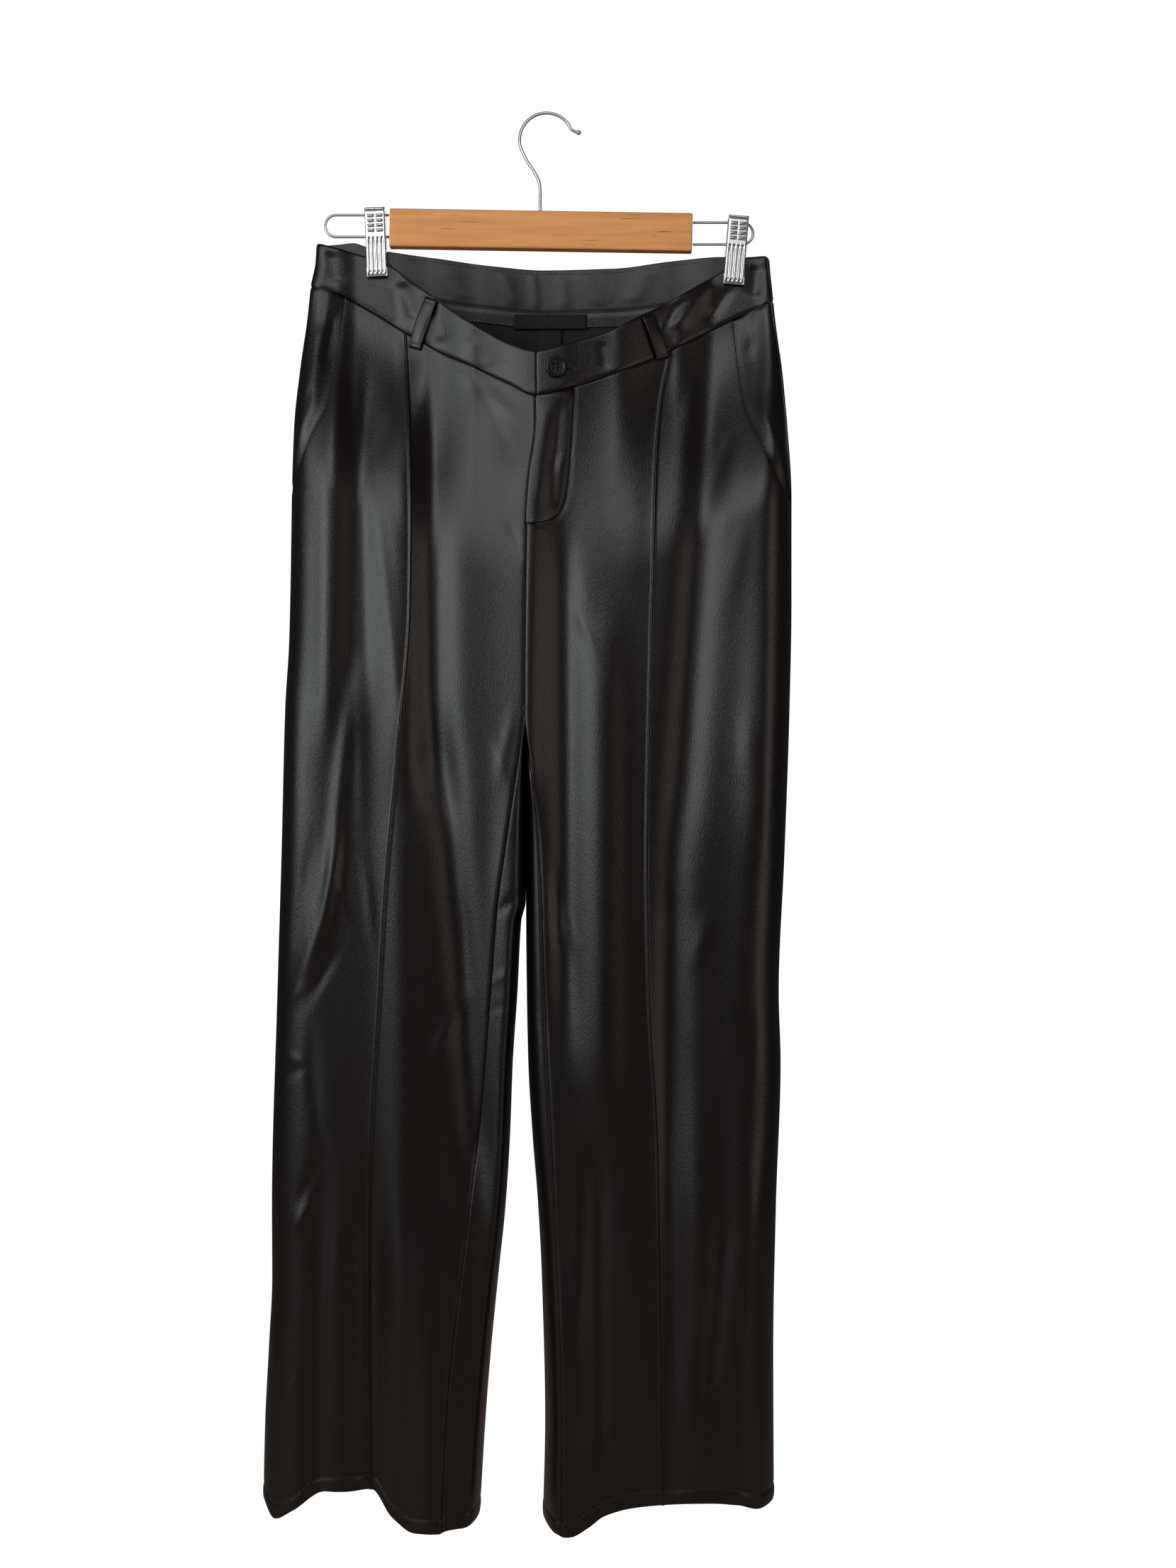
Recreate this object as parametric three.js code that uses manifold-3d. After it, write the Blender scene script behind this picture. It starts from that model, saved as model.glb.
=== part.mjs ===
// Faux leather trousers hung by the waist on a clip hanger.
// Millimetres, +Z up, +X to the viewer's right, +Y towards the wall behind.
// The origin is where the hook's inner top rests on what holds it up.
// Left and right are the viewer's.
import * as THREE from 'three';
import { mergeVertices } from 'three/addons/utils/BufferGeometryUtils.js';
import Module from 'manifold-3d';

const wasm = await Module();
wasm.setup();

// Driving sizes
const CLOTH = 1.6;
const GAP = 0.3;
const FACING_CLOTH = 1.2;
const LAY = 1;
const SEAM_TRIM = 0.28;
const POCKET_GAP = 1.5;
const TUCK = { rise: 1.7, halfWidth: 1.4 };
const CROTCH = { top: -440, bottom: -493 };
const POCKET_ROW = -265;
const PANEL_LEVELS = [3, 4, 5, 15];
const POCKET_LAP = 15;
const MID_SHIFT = -12;
const SEAM_BLEND = 170;
const BAR = { length: 246.4, height: 31, thick: 12.5, x: -8.5, z: -94.8, tilt: 0.0157 };
const HOOK = { wire: 2.6, radius: 21.9, x: -4, z: -20.3, shaftX: -9.2, ballRadius: 2 };
const RAIL = { wire: 2.2, halfGap: 8.9 };
const CLIP = { width: 16.6, height: 56, web: 1.2, flange: 4.6, face: 7.7, jaw: 7 };
const BUTTON = { radius: 8.4, thick: 3, x: 4, z: -212.7, hole: 0.95, holeSpread: 1.7 };

const COLOURS = {
  leather: { color: 0x17181a, roughness: 0.42, metalness: 0 },
  facing: { color: 0x1b1b1d, roughness: 0.5, metalness: 0 },
  label: { color: 0x0d0d0e, roughness: 0.7, metalness: 0 },
  button: { color: 0x0c0c0d, roughness: 0.35, metalness: 0 },
  wood: { color: 0xc8915f, roughness: 0.5, metalness: 0 },
  nickel: { color: 0xc9c9cc, roughness: 0.22, metalness: 1 },
  zinc: { color: 0xa6a7aa, roughness: 0.35, metalness: 1 },
};

// Upper edge of the front waistband, seen from the front
const FRONT_TOP = [
  { x: -192, z: -105.5 }, { x: -172, z: -110.5 }, { x: -154, z: -115 }, { x: -134, z: -121.5 },
  { x: -112, z: -138.5 }, { x: -89, z: -155.5 }, { x: -72, z: -169 }, { x: -55, z: -180 },
  { x: -33, z: -192.5 }, { x: -12, z: -199.5 }, { x: 22, z: -190.5 }, { x: 50, z: -180.5 },
  { x: 72, z: -168.5 }, { x: 100, z: -152.5 }, { x: 140, z: -127.5 }, { x: 160, z: -116.5 },
  { x: 173, z: -116 }, { x: 180, z: -117.5 },
];
// Seam between the front waistband and the front panels
const FRONT_SEAM = [
  { x: -197, z: -140.5 }, { x: -173, z: -147 }, { x: -146, z: -161 }, { x: -117, z: -179 },
  { x: -89, z: -196 }, { x: -60, z: -210.5 }, { x: -33, z: -224.5 }, { x: -12, z: -234.5 },
  { x: 19, z: -227 }, { x: 50, z: -216 }, { x: 77, z: -204.5 }, { x: 105, z: -190 },
  { x: 134, z: -174 }, { x: 162, z: -161 }, { x: 182, z: -152.5 },
];
const BACK_TOP = [
  { x: -192, z: -105.5 }, { x: -163, z: -103.5 }, { x: -150, z: -107 }, { x: -134, z: -110.5 },
  { x: -91, z: -116 }, { x: -45, z: -121.5 }, { x: -6, z: -124 }, { x: 50, z: -123 },
  { x: 106, z: -117 }, { x: 140, z: -115 }, { x: 165, z: -115.5 }, { x: 180, z: -117.5 },
];
const BACK_SEAM = [
  { x: -197, z: -140.5 }, { x: -163, z: -140 }, { x: -134, z: -146 }, { x: -91, z: -152 },
  { x: -62, z: -155.5 }, { x: -6, z: -160 }, { x: 50, z: -159 }, { x: 106, z: -153.5 },
  { x: 140, z: -151 }, { x: 182, z: -152.5 },
];
const FRONT_HEM = {
  left: [
    { x: -231, z: -1121 }, { x: -221, z: -1132 }, { x: -206, z: -1124 }, { x: -178, z: -1108 },
    { x: -143, z: -1108 }, { x: -126, z: -1128 }, { x: -108, z: -1139 }, { x: -70, z: -1139 },
    { x: -58, z: -1133 },
  ],
  right: [
    { x: -7, z: -1134 }, { x: 4, z: -1141 }, { x: 16, z: -1142 }, { x: 30, z: -1136 },
    { x: 43, z: -1127 }, { x: 64, z: -1121 }, { x: 90, z: -1118 }, { x: 118, z: -1115.5 },
    { x: 148, z: -1117 }, { x: 168, z: -1123 }, { x: 180, z: -1121 },
  ],
};
const BACK_HEM = {
  left: [{ x: -231, z: -1121 }, { x: -200, z: -1114 }, { x: -120, z: -1113 }, { x: -58, z: -1133 }],
  right: [{ x: -7, z: -1134 }, { x: 40, z: -1116 }, { x: 120, z: -1112 }, { x: 180, z: -1121 }],
};

// Half depths of the waist, front and back, pinched flat under the two clips
const WAIST_DEPTH = [
  { x: -192, front: 8, back: 8 }, { x: -175, front: 7, back: 8.5 }, { x: -158, front: 3, back: 4.6 },
  { x: -129, front: 3, back: 4.6 }, { x: -100, front: 12, back: 7 }, { x: -60, front: 26, back: 10 },
  { x: -10, front: 38, back: 13 }, { x: 50, front: 30, back: 11 }, { x: 100, front: 13, back: 8 },
  { x: 133, front: 3, back: 4.6 }, { x: 164, front: 3, back: 4.6 }, { x: 180, front: 7, back: 8 },
];
// Section sizes down the legs: half depths, and corner radii at the outer and inner sides
const SECTIONS = [
  { z: -120, front: 30, back: 27, outer: 10, innerFront: 0, innerBack: 0 },
  { z: -170, front: 30, back: 27, outer: 11, innerFront: 0, innerBack: 0 },
  { z: -300, front: 31, back: 28, outer: 30, innerFront: 0, innerBack: 0 },
  { z: -440, front: 33, back: 29, outer: 36, innerFront: 0, innerBack: 0 },
  { z: -493, front: 34, back: 29, outer: 38, innerFront: 0, innerBack: 9 },
  { z: -525, front: 33, back: 29, outer: 38, innerFront: 11, innerBack: 14 },
  { z: -600, front: 32, back: 28, outer: 38, innerFront: 20, innerBack: 22 },
  { z: -800, front: 32, back: 28, outer: 38, innerFront: 28, innerBack: 30 },
  { z: -1150, front: 35, back: 27, outer: 40, innerFront: 32, innerBack: 34 },
];
const CENTRE = [
  { z: -195, front: -12, back: -5 }, { z: -258, front: -11.5, back: -12 },
  { z: -296, front: -16.5, back: -15 }, { z: -340, front: -19.3, back: -18 },
  { z: -440, front: -20.5, back: -20.5 },
];

// Outlines and seams of each leg, by height
const SIDES = {
  left: {
    dir: 1,
    outseamShift: 0,
    outline: [
      { z: -105, outer: -191.5 }, { z: -121, outer: -192.5 }, { z: -141, outer: -196.5 },
      { z: -170, outer: -199.5 }, { z: -210, outer: -204.5 }, { z: -256, outer: -208.5 },
      { z: -428, outer: -212 }, { z: -485, outer: -215.3 }, { z: -600, outer: -218.2 },
      { z: -714, outer: -221.6 }, { z: -886, outer: -226 }, { z: -943, outer: -225.8 },
      { z: -1001, outer: -228.5 }, { z: -1058, outer: -231.4 }, { z: -1150, outer: -233.5 },
    ],
    innerLine: [
      { z: -493, inner: -20.8 }, { z: -642, inner: -21.2 }, { z: -657, inner: -24.2 },
      { z: -714, inner: -27.2 }, { z: -771, inner: -31 }, { z: -829, inner: -33.2 },
      { z: -886, inner: -36.8 }, { z: -943, inner: -42.7 }, { z: -1001, inner: -48.4 },
      { z: -1058, inner: -53 }, { z: -1150, inner: -58.5 },
    ],
    inseam: [
      { z: -493, x: -20.8 }, { z: -534, x: -26.8 }, { z: -593, x: -35.7 }, { z: -640, x: -42.5 },
      { z: -713, x: -48.4 }, { z: -829, x: -58.3 }, { z: -932, x: -70.2 }, { z: -1049, x: -81.9 },
      { z: -1150, x: -86.5 },
    ],
    tuck: [
      { z: -170, x: -118.5 }, { z: -187, x: -117.8 }, { z: -270, x: -113.8 }, { z: -344, x: -111.8 },
      { z: -404, x: -112.4 }, { z: -525, x: -121.6 }, { z: -629, x: -130.6 }, { z: -728, x: -136.5 },
      { z: -827, x: -142.4 }, { z: -948, x: -144.8 }, { z: -1100, x: -143.2 },
    ],
    pocket: [
      { z: -152, x: -167.6 }, { z: -239, x: -179 }, { z: -270, x: -193.3 }, { z: -305, x: -206.5 },
      { z: -315, x: -212 },
    ],
    frontFolds: [
      { x1: -157, z1: -175, x2: -127, z2: -520, width: 11, height: 4.5 },
      { x1: -176, z1: -270, x2: -160, z2: -500, width: 10, height: -4 },
      { x1: -98, z1: -205, x2: -90, z2: -800, width: 14, height: -5 },
      { x1: -50, z1: -230, x2: -60, z2: -560, width: 20, height: 4 },
      { x1: -164, z1: -470, x2: -206, z2: -740, width: 9, height: 4 },
      { x1: -69, z1: -470, x2: -72, z2: -720, width: 9, height: 3.5 },
      { x1: -182, z1: -800, x2: -190, z2: -1300, width: 10, height: -4 },
      { x1: -152, z1: -860, x2: -152, z2: -1400, width: 14, height: -8 },
      { x1: -96, z1: -850, x2: -92, z2: -1400, width: 20, height: 8 },
    ],
    backFolds: [
      { x1: -150, z1: -260, x2: -165, z2: -700, width: 14, height: 4 },
      { x1: -90, z1: -200, x2: -80, z2: -560, width: 16, height: -4 },
      { x1: -60, z1: -340, x2: -40, z2: -520, width: 11, height: -3 },
      { x1: -130, z1: -560, x2: -150, z2: -1400, width: 15, height: -4 },
      { x1: -80, z1: -650, x2: -95, z2: -1300, width: 16, height: 4 },
    ],
  },
  right: {
    dir: -1,
    outseamShift: 5,
    outline: [
      { z: -105, outer: 177.5 }, { z: -121, outer: 178 }, { z: -141, outer: 180 },
      { z: -170, outer: 183 }, { z: -210, outer: 188 }, { z: -256, outer: 191.7 },
      { z: -313, outer: 194.6 }, { z: -400, outer: 194.6 }, { z: -485, outer: 193 },
      { z: -600, outer: 189 }, { z: -714, outer: 184.3 }, { z: -771, outer: 185.8 },
      { z: -886, outer: 182 }, { z: -1001, outer: 179.9 }, { z: -1150, outer: 180.5 },
    ],
    innerLine: [
      { z: -493, inner: -20.2 }, { z: -714, inner: -19.8 }, { z: -771, inner: -18.6 },
      { z: -829, inner: -15.2 }, { z: -886, inner: -10.6 }, { z: -943, inner: -7.7 },
      { z: -1058, inner: -5 }, { z: -1150, inner: -7.2 },
    ],
    inseam: [
      { z: -493, x: -20.2 }, { z: -530, x: -17.6 }, { z: -568, x: -11.5 }, { z: -627, x: -7.3 },
      { z: -697, x: -5.1 }, { z: -767, x: -2.4 }, { z: -838, x: 1.2 }, { z: -912, x: 4 },
      { z: -1049, x: 9.1 }, { z: -1150, x: 8.8 },
    ],
    tuck: [
      { z: -185, x: 98.9 }, { z: -202, x: 95.3 }, { z: -239, x: 88 }, { z: -279, x: 84.6 },
      { z: -344, x: 82.3 }, { z: -484, x: 78.4 }, { z: -610, x: 76.2 }, { z: -708, x: 77.7 },
      { z: -836, x: 84 }, { z: -968, x: 86.3 }, { z: -1120, x: 89.6 },
    ],
    pocket: [
      { z: -170, x: 147.8 }, { z: -239, x: 155.3 }, { z: -265, x: 165 }, { z: -299, x: 180 },
      { z: -326, x: 195 },
    ],
    frontFolds: [
      { x1: -2, z1: -330, x2: 3, z2: -700, width: 9, height: -4.5 },
      { x1: 29, z1: -400, x2: 22, z2: -800, width: 11, height: 4 },
      { x1: 58, z1: -400, x2: 60, z2: -700, width: 16, height: -5 },
      { x1: 133, z1: -185, x2: 100, z2: -440, width: 12, height: -5 },
      { x1: 153, z1: -215, x2: 152, z2: -500, width: 17, height: 5 },
      { x1: 129, z1: -400, x2: 124, z2: -640, width: 12, height: 4 },
      { x1: 38, z1: -820, x2: 38, z2: -1100, width: 9, height: -4 },
      { x1: 115, z1: -760, x2: 116, z2: -1400, width: 18, height: 5 },
      { x1: 142, z1: -870, x2: 122, z2: -1050, width: 9, height: -4 },
      { x1: 5, z1: -900, x2: 10, z2: -1400, width: 18, height: 7 },
    ],
    backFolds: [
      { x1: 140, z1: -260, x2: 150, z2: -700, width: 14, height: 4 },
      { x1: 70, z1: -200, x2: 55, z2: -560, width: 16, height: -4 },
      { x1: 20, z1: -340, x2: 0, z2: -520, width: 11, height: -3 },
      { x1: 120, z1: -600, x2: 120, z2: -1400, width: 15, height: -4 },
      { x1: 50, z1: -650, x2: 60, z2: -1300, width: 16, height: 4 },
    ],
  },
};
// Curved lower edge of the fly, from the waist seam to the centre line
const FLY_EDGE = [
  { z: -227, x: 19.4 }, { z: -258, x: 17.7 }, { z: -291, x: 15.5 }, { z: -317, x: 12.5 },
  { z: -330, x: 7 }, { z: -336, x: -1 }, { z: -339, x: -14 },
];

const lerp = THREE.MathUtils.lerp;
const ease = (t) => THREE.MathUtils.smoothstep(t, 0, 1);

// Value of a column at a place along a table, straight between rows or eased into each row
function lookUp(rows, by, column, place, eased = false) {
  const rising = rows[rows.length - 1][by] > rows[0][by];
  const list = rising ? rows : [...rows].reverse();
  if (place <= list[0][by]) return list[0][column];
  for (let i = 1; i < list.length; i += 1) {
    if (place <= list[i][by]) {
      const t = (place - list[i - 1][by]) / (list[i][by] - list[i - 1][by]);
      return lerp(list[i - 1][column], list[i][column], eased ? ease(t) : t);
    }
  }
  return list[list.length - 1][column];
}

// Height that the long folds add at one place of the cloth
function foldHeight(folds, x, z) {
  let height = 0;
  for (const fold of folds) {
    const along = (fold.z1 - z) / (fold.z1 - fold.z2);
    if (along <= 0 || along >= 1) continue;
    const middle = lerp(fold.x1, fold.x2, along);
    const fade = ease(along / 0.22) * ease((1 - along) / 0.22);
    height += fold.height * fade * Math.exp(-(((x - middle) / fold.width) ** 2));
  }
  return height;
}

// The closed section of one side of the garment at one height: out along the front from the
// outseam, round the inner side and back along the rear
function ringAt(side, z) {
  const section = (column) => lookUp(SECTIONS, 'z', column, z, true);
  const upper = z > CROTCH.bottom + 0.01;
  const frontInner = upper
    ? lookUp(CENTRE, 'z', 'front', z)
    : lookUp(side.innerLine, 'z', 'inner', z);
  const backInner = upper ? lookUp(CENTRE, 'z', 'back', z) - side.dir * GAP : frontInner;
  const outer = lookUp(side.outline, 'z', 'outer', z);
  const points = [];
  const shape = (x, face, along) => {
    const seam = lookUp(face === 'front' ? FRONT_SEAM : BACK_SEAM, 'x', 'z', x);
    const blend = ease((seam - z) / SEAM_BLEND);
    const half = lerp(lookUp(WAIST_DEPTH, 'x', face, x, true), section(face), blend);
    const folds = face === 'front' ? side.frontFolds : side.backFolds;
    const depth = (half + foldHeight(folds, x, z)) * along;
    points.push(new THREE.Vector2(x, MID_SHIFT * blend + (face === 'front' ? -depth : depth)));
  };
  const quarter = (from, radius, face, opening) => {
    for (let k = 0; k <= 7; k += 1) {
      const turn = ((opening ? k : 7 - k) / 7) * (Math.PI / 2);
      shape(from + radius * (1 - Math.cos(turn)), face, Math.sin(turn));
    }
  };
  const flat = (from, to, face) => {
    for (let k = 1; k < 16; k += 1) shape(lerp(from, to, k / 16), face, 1);
  };
  const radius = section('outer') * side.dir;
  const innerFront = section('innerFront') * side.dir;
  const innerBack = section('innerBack') * side.dir;
  quarter(outer, radius, 'front', true);
  flat(outer + radius, frontInner - innerFront, 'front');
  const turnStart = points.length;
  quarter(frontInner, -innerFront, 'front', false);
  quarter(backInner, -innerBack, 'back', true);
  const turnEnd = points.length - 1;
  flat(backInner - innerBack, outer + radius, 'back');
  quarter(outer, radius, 'back', false);
  const lengths = [0];
  for (let i = 1; i < points.length; i += 1) {
    lengths.push(lengths[i - 1] + points[i].distanceTo(points[i - 1]));
  }
  return { side, z, points, lengths, length: lengths[points.length - 1], turnStart, turnEnd };
}

// Place on a ring at a distance along it
function ringPlace(ring, distance) {
  const s = ((distance % ring.length) + ring.length) % ring.length;
  let i = 1;
  while (i < ring.lengths.length - 1 && ring.lengths[i] < s) i += 1;
  const span = ring.lengths[i] - ring.lengths[i - 1];
  const t = span > 0 ? (s - ring.lengths[i - 1]) / span : 0;
  return ring.points[i - 1].clone().lerp(ring.points[i], t);
}

// Outward direction of a ring at a distance along it, taken within one face above the crotch
function ringNormal(ring, distance) {
  const reach = 2.5;
  const corners = [ring.lengths[ring.turnStart], ring.lengths[ring.turnEnd]];
  let from = distance - reach;
  let to = distance + reach;
  if (ring.z > CROTCH.bottom + 0.01) {
    if (distance <= corners[0]) to = Math.min(to, corners[0]);
    if (distance >= corners[1]) from = Math.max(from, corners[1]);
  }
  const step = ringPlace(ring, to).sub(ringPlace(ring, from));
  return new THREE.Vector2(step.y, -step.x).normalize().multiplyScalar(ring.side.dir);
}

// Distance along the front, or along the back, at which a ring reaches a given x
function distanceAt(ring, x, face) {
  const first = face === 'front' ? 1 : ring.turnEnd + 1;
  const sign = face === 'front' ? ring.side.dir : -ring.side.dir;
  for (let i = first; i < ring.points.length; i += 1) {
    const ahead = (ring.points[i].x - x) * sign;
    if (ahead >= 0) {
      const span = ring.points[i].x - ring.points[i - 1].x;
      const t = Math.abs(span) > 1e-6 ? (x - ring.points[i - 1].x) / span : 0;
      return lerp(ring.lengths[i - 1], ring.lengths[i], THREE.MathUtils.clamp(t, 0, 1));
    }
  }
  return ring.length;
}

// Where the front panel starts: the pocket mouth above, the outseam below
function frontStart(ring) {
  const { side, z } = ring;
  const mouth = side.pocket[side.pocket.length - 1].z;
  if (z <= mouth) return side.outseamShift;
  const x = lookUp(side.pocket, 'z', 'x', z);
  return Math.max(distanceAt(ring, x, 'front'), side.outseamShift);
}

// Where the front panel ends: the centre line above the crotch, the inseam below
function frontEnd(ring) {
  const { side, z } = ring;
  if (z > CROTCH.bottom + 0.01) return ring.lengths[ring.turnStart];
  return distanceAt(ring, lookUp(side.inseam, 'z', 'x', z), 'front');
}

// Where the back panel starts: the centre back, then the crotch curve, then the inseam
function backStart(ring) {
  if (ring.z >= CROTCH.top) return ring.lengths[ring.turnEnd];
  if (ring.z <= CROTCH.bottom + 0.01) return frontEnd(ring);
  const t = ease((CROTCH.top - ring.z) / (CROTCH.top - CROTCH.bottom));
  return lerp(ring.lengths[ring.turnEnd], ring.lengths[ring.turnStart], t);
}

// A body with one outer and one inner grid of points, closed along its four edges
function closedWall(outer, inner) {
  const rows = outer.length;
  const columns = outer[0].length;
  const positions = [];
  for (const grid of [outer, inner]) {
    for (const row of grid) {
      for (const point of row) positions.push(point.x, point.y, point.z);
    }
  }
  const at = (layer, i, j) => (layer * rows + i) * columns + j;
  const index = [];
  const quad = (a, b, c, d) => index.push(a, b, c, a, c, d);
  for (let i = 0; i < rows - 1; i += 1) {
    for (let j = 0; j < columns - 1; j += 1) {
      quad(at(0, i, j), at(0, i + 1, j), at(0, i + 1, j + 1), at(0, i, j + 1));
      quad(at(1, i, j), at(1, i, j + 1), at(1, i + 1, j + 1), at(1, i + 1, j));
    }
  }
  const last = { row: rows - 1, column: columns - 1 };
  for (let j = 0; j < last.column; j += 1) {
    quad(at(0, 0, j), at(0, 0, j + 1), at(1, 0, j + 1), at(1, 0, j));
    quad(at(0, last.row, j + 1), at(0, last.row, j), at(1, last.row, j), at(1, last.row, j + 1));
  }
  for (let i = 0; i < last.row; i += 1) {
    quad(at(0, i + 1, 0), at(0, i, 0), at(1, i, 0), at(1, i + 1, 0));
    quad(at(0, i, last.column), at(0, i + 1, last.column), at(1, i + 1, last.column), at(1, i, last.column));
  }
  let volume = 0;
  const corner = (k) => new THREE.Vector3().fromArray(positions, index[k] * 3);
  for (let k = 0; k < index.length; k += 3) volume += corner(k).dot(corner(k + 1).cross(corner(k + 2)));
  if (volume < 0) index.reverse();
  const geometry = new THREE.BufferGeometry();
  geometry.setAttribute('position', new THREE.Float32BufferAttribute(positions, 3));
  geometry.setIndex(index);
  return geometry;
}

// Heights of a column's points, spaced evenly between its top, any stops and its bottom
function heightsOf(top, bottom, stops, levels) {
  const ends = [top, ...stops, bottom];
  const heights = [top];
  levels.forEach((count, k) => {
    for (let i = 1; i <= count; i += 1) heights.push(lerp(ends[k], ends[k + 1], i / count));
  });
  return heights;
}

// A wall laid along the rings: columns gives each column's side, distance and rise for a ring
function ringWall({ columns, top, bottom, levels, stops = [], lift = 0, cloth = CLOTH }) {
  const outer = [];
  const inner = [];
  const count = levels.reduce((sum, value) => sum + value, 0);
  for (let level = 0; level <= count; level += 1) {
    const outerRow = [];
    const innerRow = [];
    for (const column of columns) {
      let z = heightsOf(top(0), bottom(0, column), stops, levels)[level];
      let ring;
      let distance;
      for (let turn = 0; turn < 6; turn += 1) {
        ring = ringAt(column.side, z);
        distance = column.distance(ring);
        const { x } = ringPlace(ring, distance);
        z = heightsOf(top(x), bottom(x, column), stops, levels)[level];
      }
      const place = ringPlace(ring, distance);
      const normal = ringNormal(ring, distance);
      const out = place.clone().addScaledVector(normal, lift + (column.rise ?? 0));
      const within = place.clone().addScaledVector(normal, lift - cloth);
      outerRow.push(new THREE.Vector3(out.x, out.y, z));
      innerRow.push(new THREE.Vector3(within.x, within.y, z));
    }
    outer.push(outerRow);
    inner.push(innerRow);
  }
  return closedWall(outer, inner);
}

// Columns spaced evenly between two distances, a little inside each trimmed end
function evenColumns(side, count, from, to, trimEnds = [true, true]) {
  return Array.from({ length: count + 1 }, (_, k) => ({
    side,
    share: k / count,
    distance: (ring) => {
      const start = from(ring) + (trimEnds[0] ? SEAM_TRIM : 0);
      const end = to(ring) - (trimEnds[1] ? SEAM_TRIM : 0);
      return lerp(start, end, k / count);
    },
  }));
}

// A point on the cloth's outer face, moved out along its normal
function clothPoint(x, z, face, lift) {
  const centre = lookUp(CENTRE, 'z', face, z);
  const side = x < centre ? SIDES.left : SIDES.right;
  const ring = ringAt(side, z);
  const distance = distanceAt(ring, x, face);
  const place = ringPlace(ring, distance).addScaledVector(ringNormal(ring, distance), lift);
  return new THREE.Vector3(place.x, place.y, z);
}

const group = new THREE.Group();
function addPiece(name, geometry, colour) {
  const mesh = new THREE.Mesh(geometry, new THREE.MeshStandardMaterial(COLOURS[colour]));
  mesh.name = name;
  group.add(mesh);
  return mesh;
}

const frontTop = (x) => lookUp(FRONT_TOP, 'x', 'z', x);
const frontSeam = (x) => lookUp(FRONT_SEAM, 'x', 'z', x);
const backTop = (x) => lookUp(BACK_TOP, 'x', 'z', x);
const backSeam = (x) => lookUp(BACK_SEAM, 'x', 'z', x);

// Heights that every panel has a row of points at: the pocket mouth's curve and the crotch
function panelStops(side) {
  return [POCKET_ROW, side.pocket[side.pocket.length - 1].z, CROTCH.bottom];
}

// Front panels, each with its stitched tuck from waist to hem
function frontPanel(name, side) {
  const tuckAt = (ring) => distanceAt(ring, lookUp(side.tuck, 'z', 'x', ring.z), 'front');
  const outerColumns = evenColumns(side, 8, frontStart, (ring) => tuckAt(ring) - TUCK.halfWidth, [true, false]);
  const innerColumns = evenColumns(side, 9, (ring) => tuckAt(ring) + TUCK.halfWidth, frontEnd, [false, true]);
  const ridge = { side, distance: tuckAt, rise: TUCK.rise };
  return ringWall({
    columns: [...outerColumns, ridge, ...innerColumns],
    top: (x) => frontSeam(x) - GAP / 2,
    bottom: (x) => lookUp(FRONT_HEM[name], 'x', 'z', x),
    levels: PANEL_LEVELS,
    stops: panelStops(side),
  });
}

// Back panels, from the centre back or the inseam round to the outseam
function backPanel(name, side) {
  const hem = (x, column) => {
    const front = lookUp(FRONT_HEM[name], 'x', 'z', x);
    return lerp(front, lookUp(BACK_HEM[name], 'x', 'z', x), ease(column.share / 0.35));
  };
  return ringWall({
    columns: evenColumns(side, 17, backStart, (ring) => ring.length + side.outseamShift),
    top: (x) => backSeam(x) - GAP / 2,
    bottom: hem,
    levels: PANEL_LEVELS,
    stops: panelStops(side),
  });
}

// Hip piece behind each slanted pocket mouth
function pocketSide(side) {
  const mouth = side.pocket[side.pocket.length - 1].z;
  const lapEnd = (ring) => {
    const x = lookUp(side.pocket, 'z', 'x', ring.z) + side.dir * POCKET_LAP;
    return distanceAt(ring, x, 'front');
  };
  return ringWall({
    columns: evenColumns(side, 6, () => side.outseamShift, lapEnd),
    top: (x) => frontSeam(x) - 2 * GAP,
    bottom: () => mouth - POCKET_LAP,
    levels: [3, 4, 1],
    stops: [POCKET_ROW, mouth],
    lift: -CLOTH - POCKET_GAP,
    cloth: FACING_CLOTH,
  });
}

function frontBand(side) {
  return ringWall({
    columns: evenColumns(side, 22, () => side.outseamShift, (ring) => ring.lengths[ring.turnStart]),
    top: frontTop,
    bottom: (x) => frontSeam(x) + GAP / 2,
    levels: [3],
  });
}

// Columns all round the back, from the left outseam to the right
function backColumns(count) {
  const backEnd = (ring) => ring.lengths[ring.turnEnd];
  const outseam = (ring) => ring.length + ring.side.outseamShift - GAP / 2;
  const left = evenColumns(SIDES.left, count, outseam, backEnd, [false, false]);
  const right = evenColumns(SIDES.right, count, backEnd, outseam, [false, false]);
  return [...left, ...right.slice(1)];
}

// Strap sewn at both ends, standing off the band between them
function beltLoop(upper, lower, face) {
  const width = 10.5;
  const cloth = 1.3;
  const standOff = 2.2;
  const along = new THREE.Vector2(lower.x - upper.x, lower.z - upper.z);
  const across = new THREE.Vector2(-along.y, along.x).normalize();
  const grids = [0, cloth].map((layer) => Array.from({ length: 7 }, (_, i) => [-0.5, 0, 0.5].map((share) => {
    const place = new THREE.Vector2(upper.x, upper.z).addScaledVector(along, i / 6);
    place.addScaledVector(across, share * width);
    const lift = LAY + layer + standOff * Math.sin((Math.PI * i) / 6) ** 0.7;
    return clothPoint(place.x, place.y, face, lift);
  })));
  return closedWall(grids[1], grids[0]);
}

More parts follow.
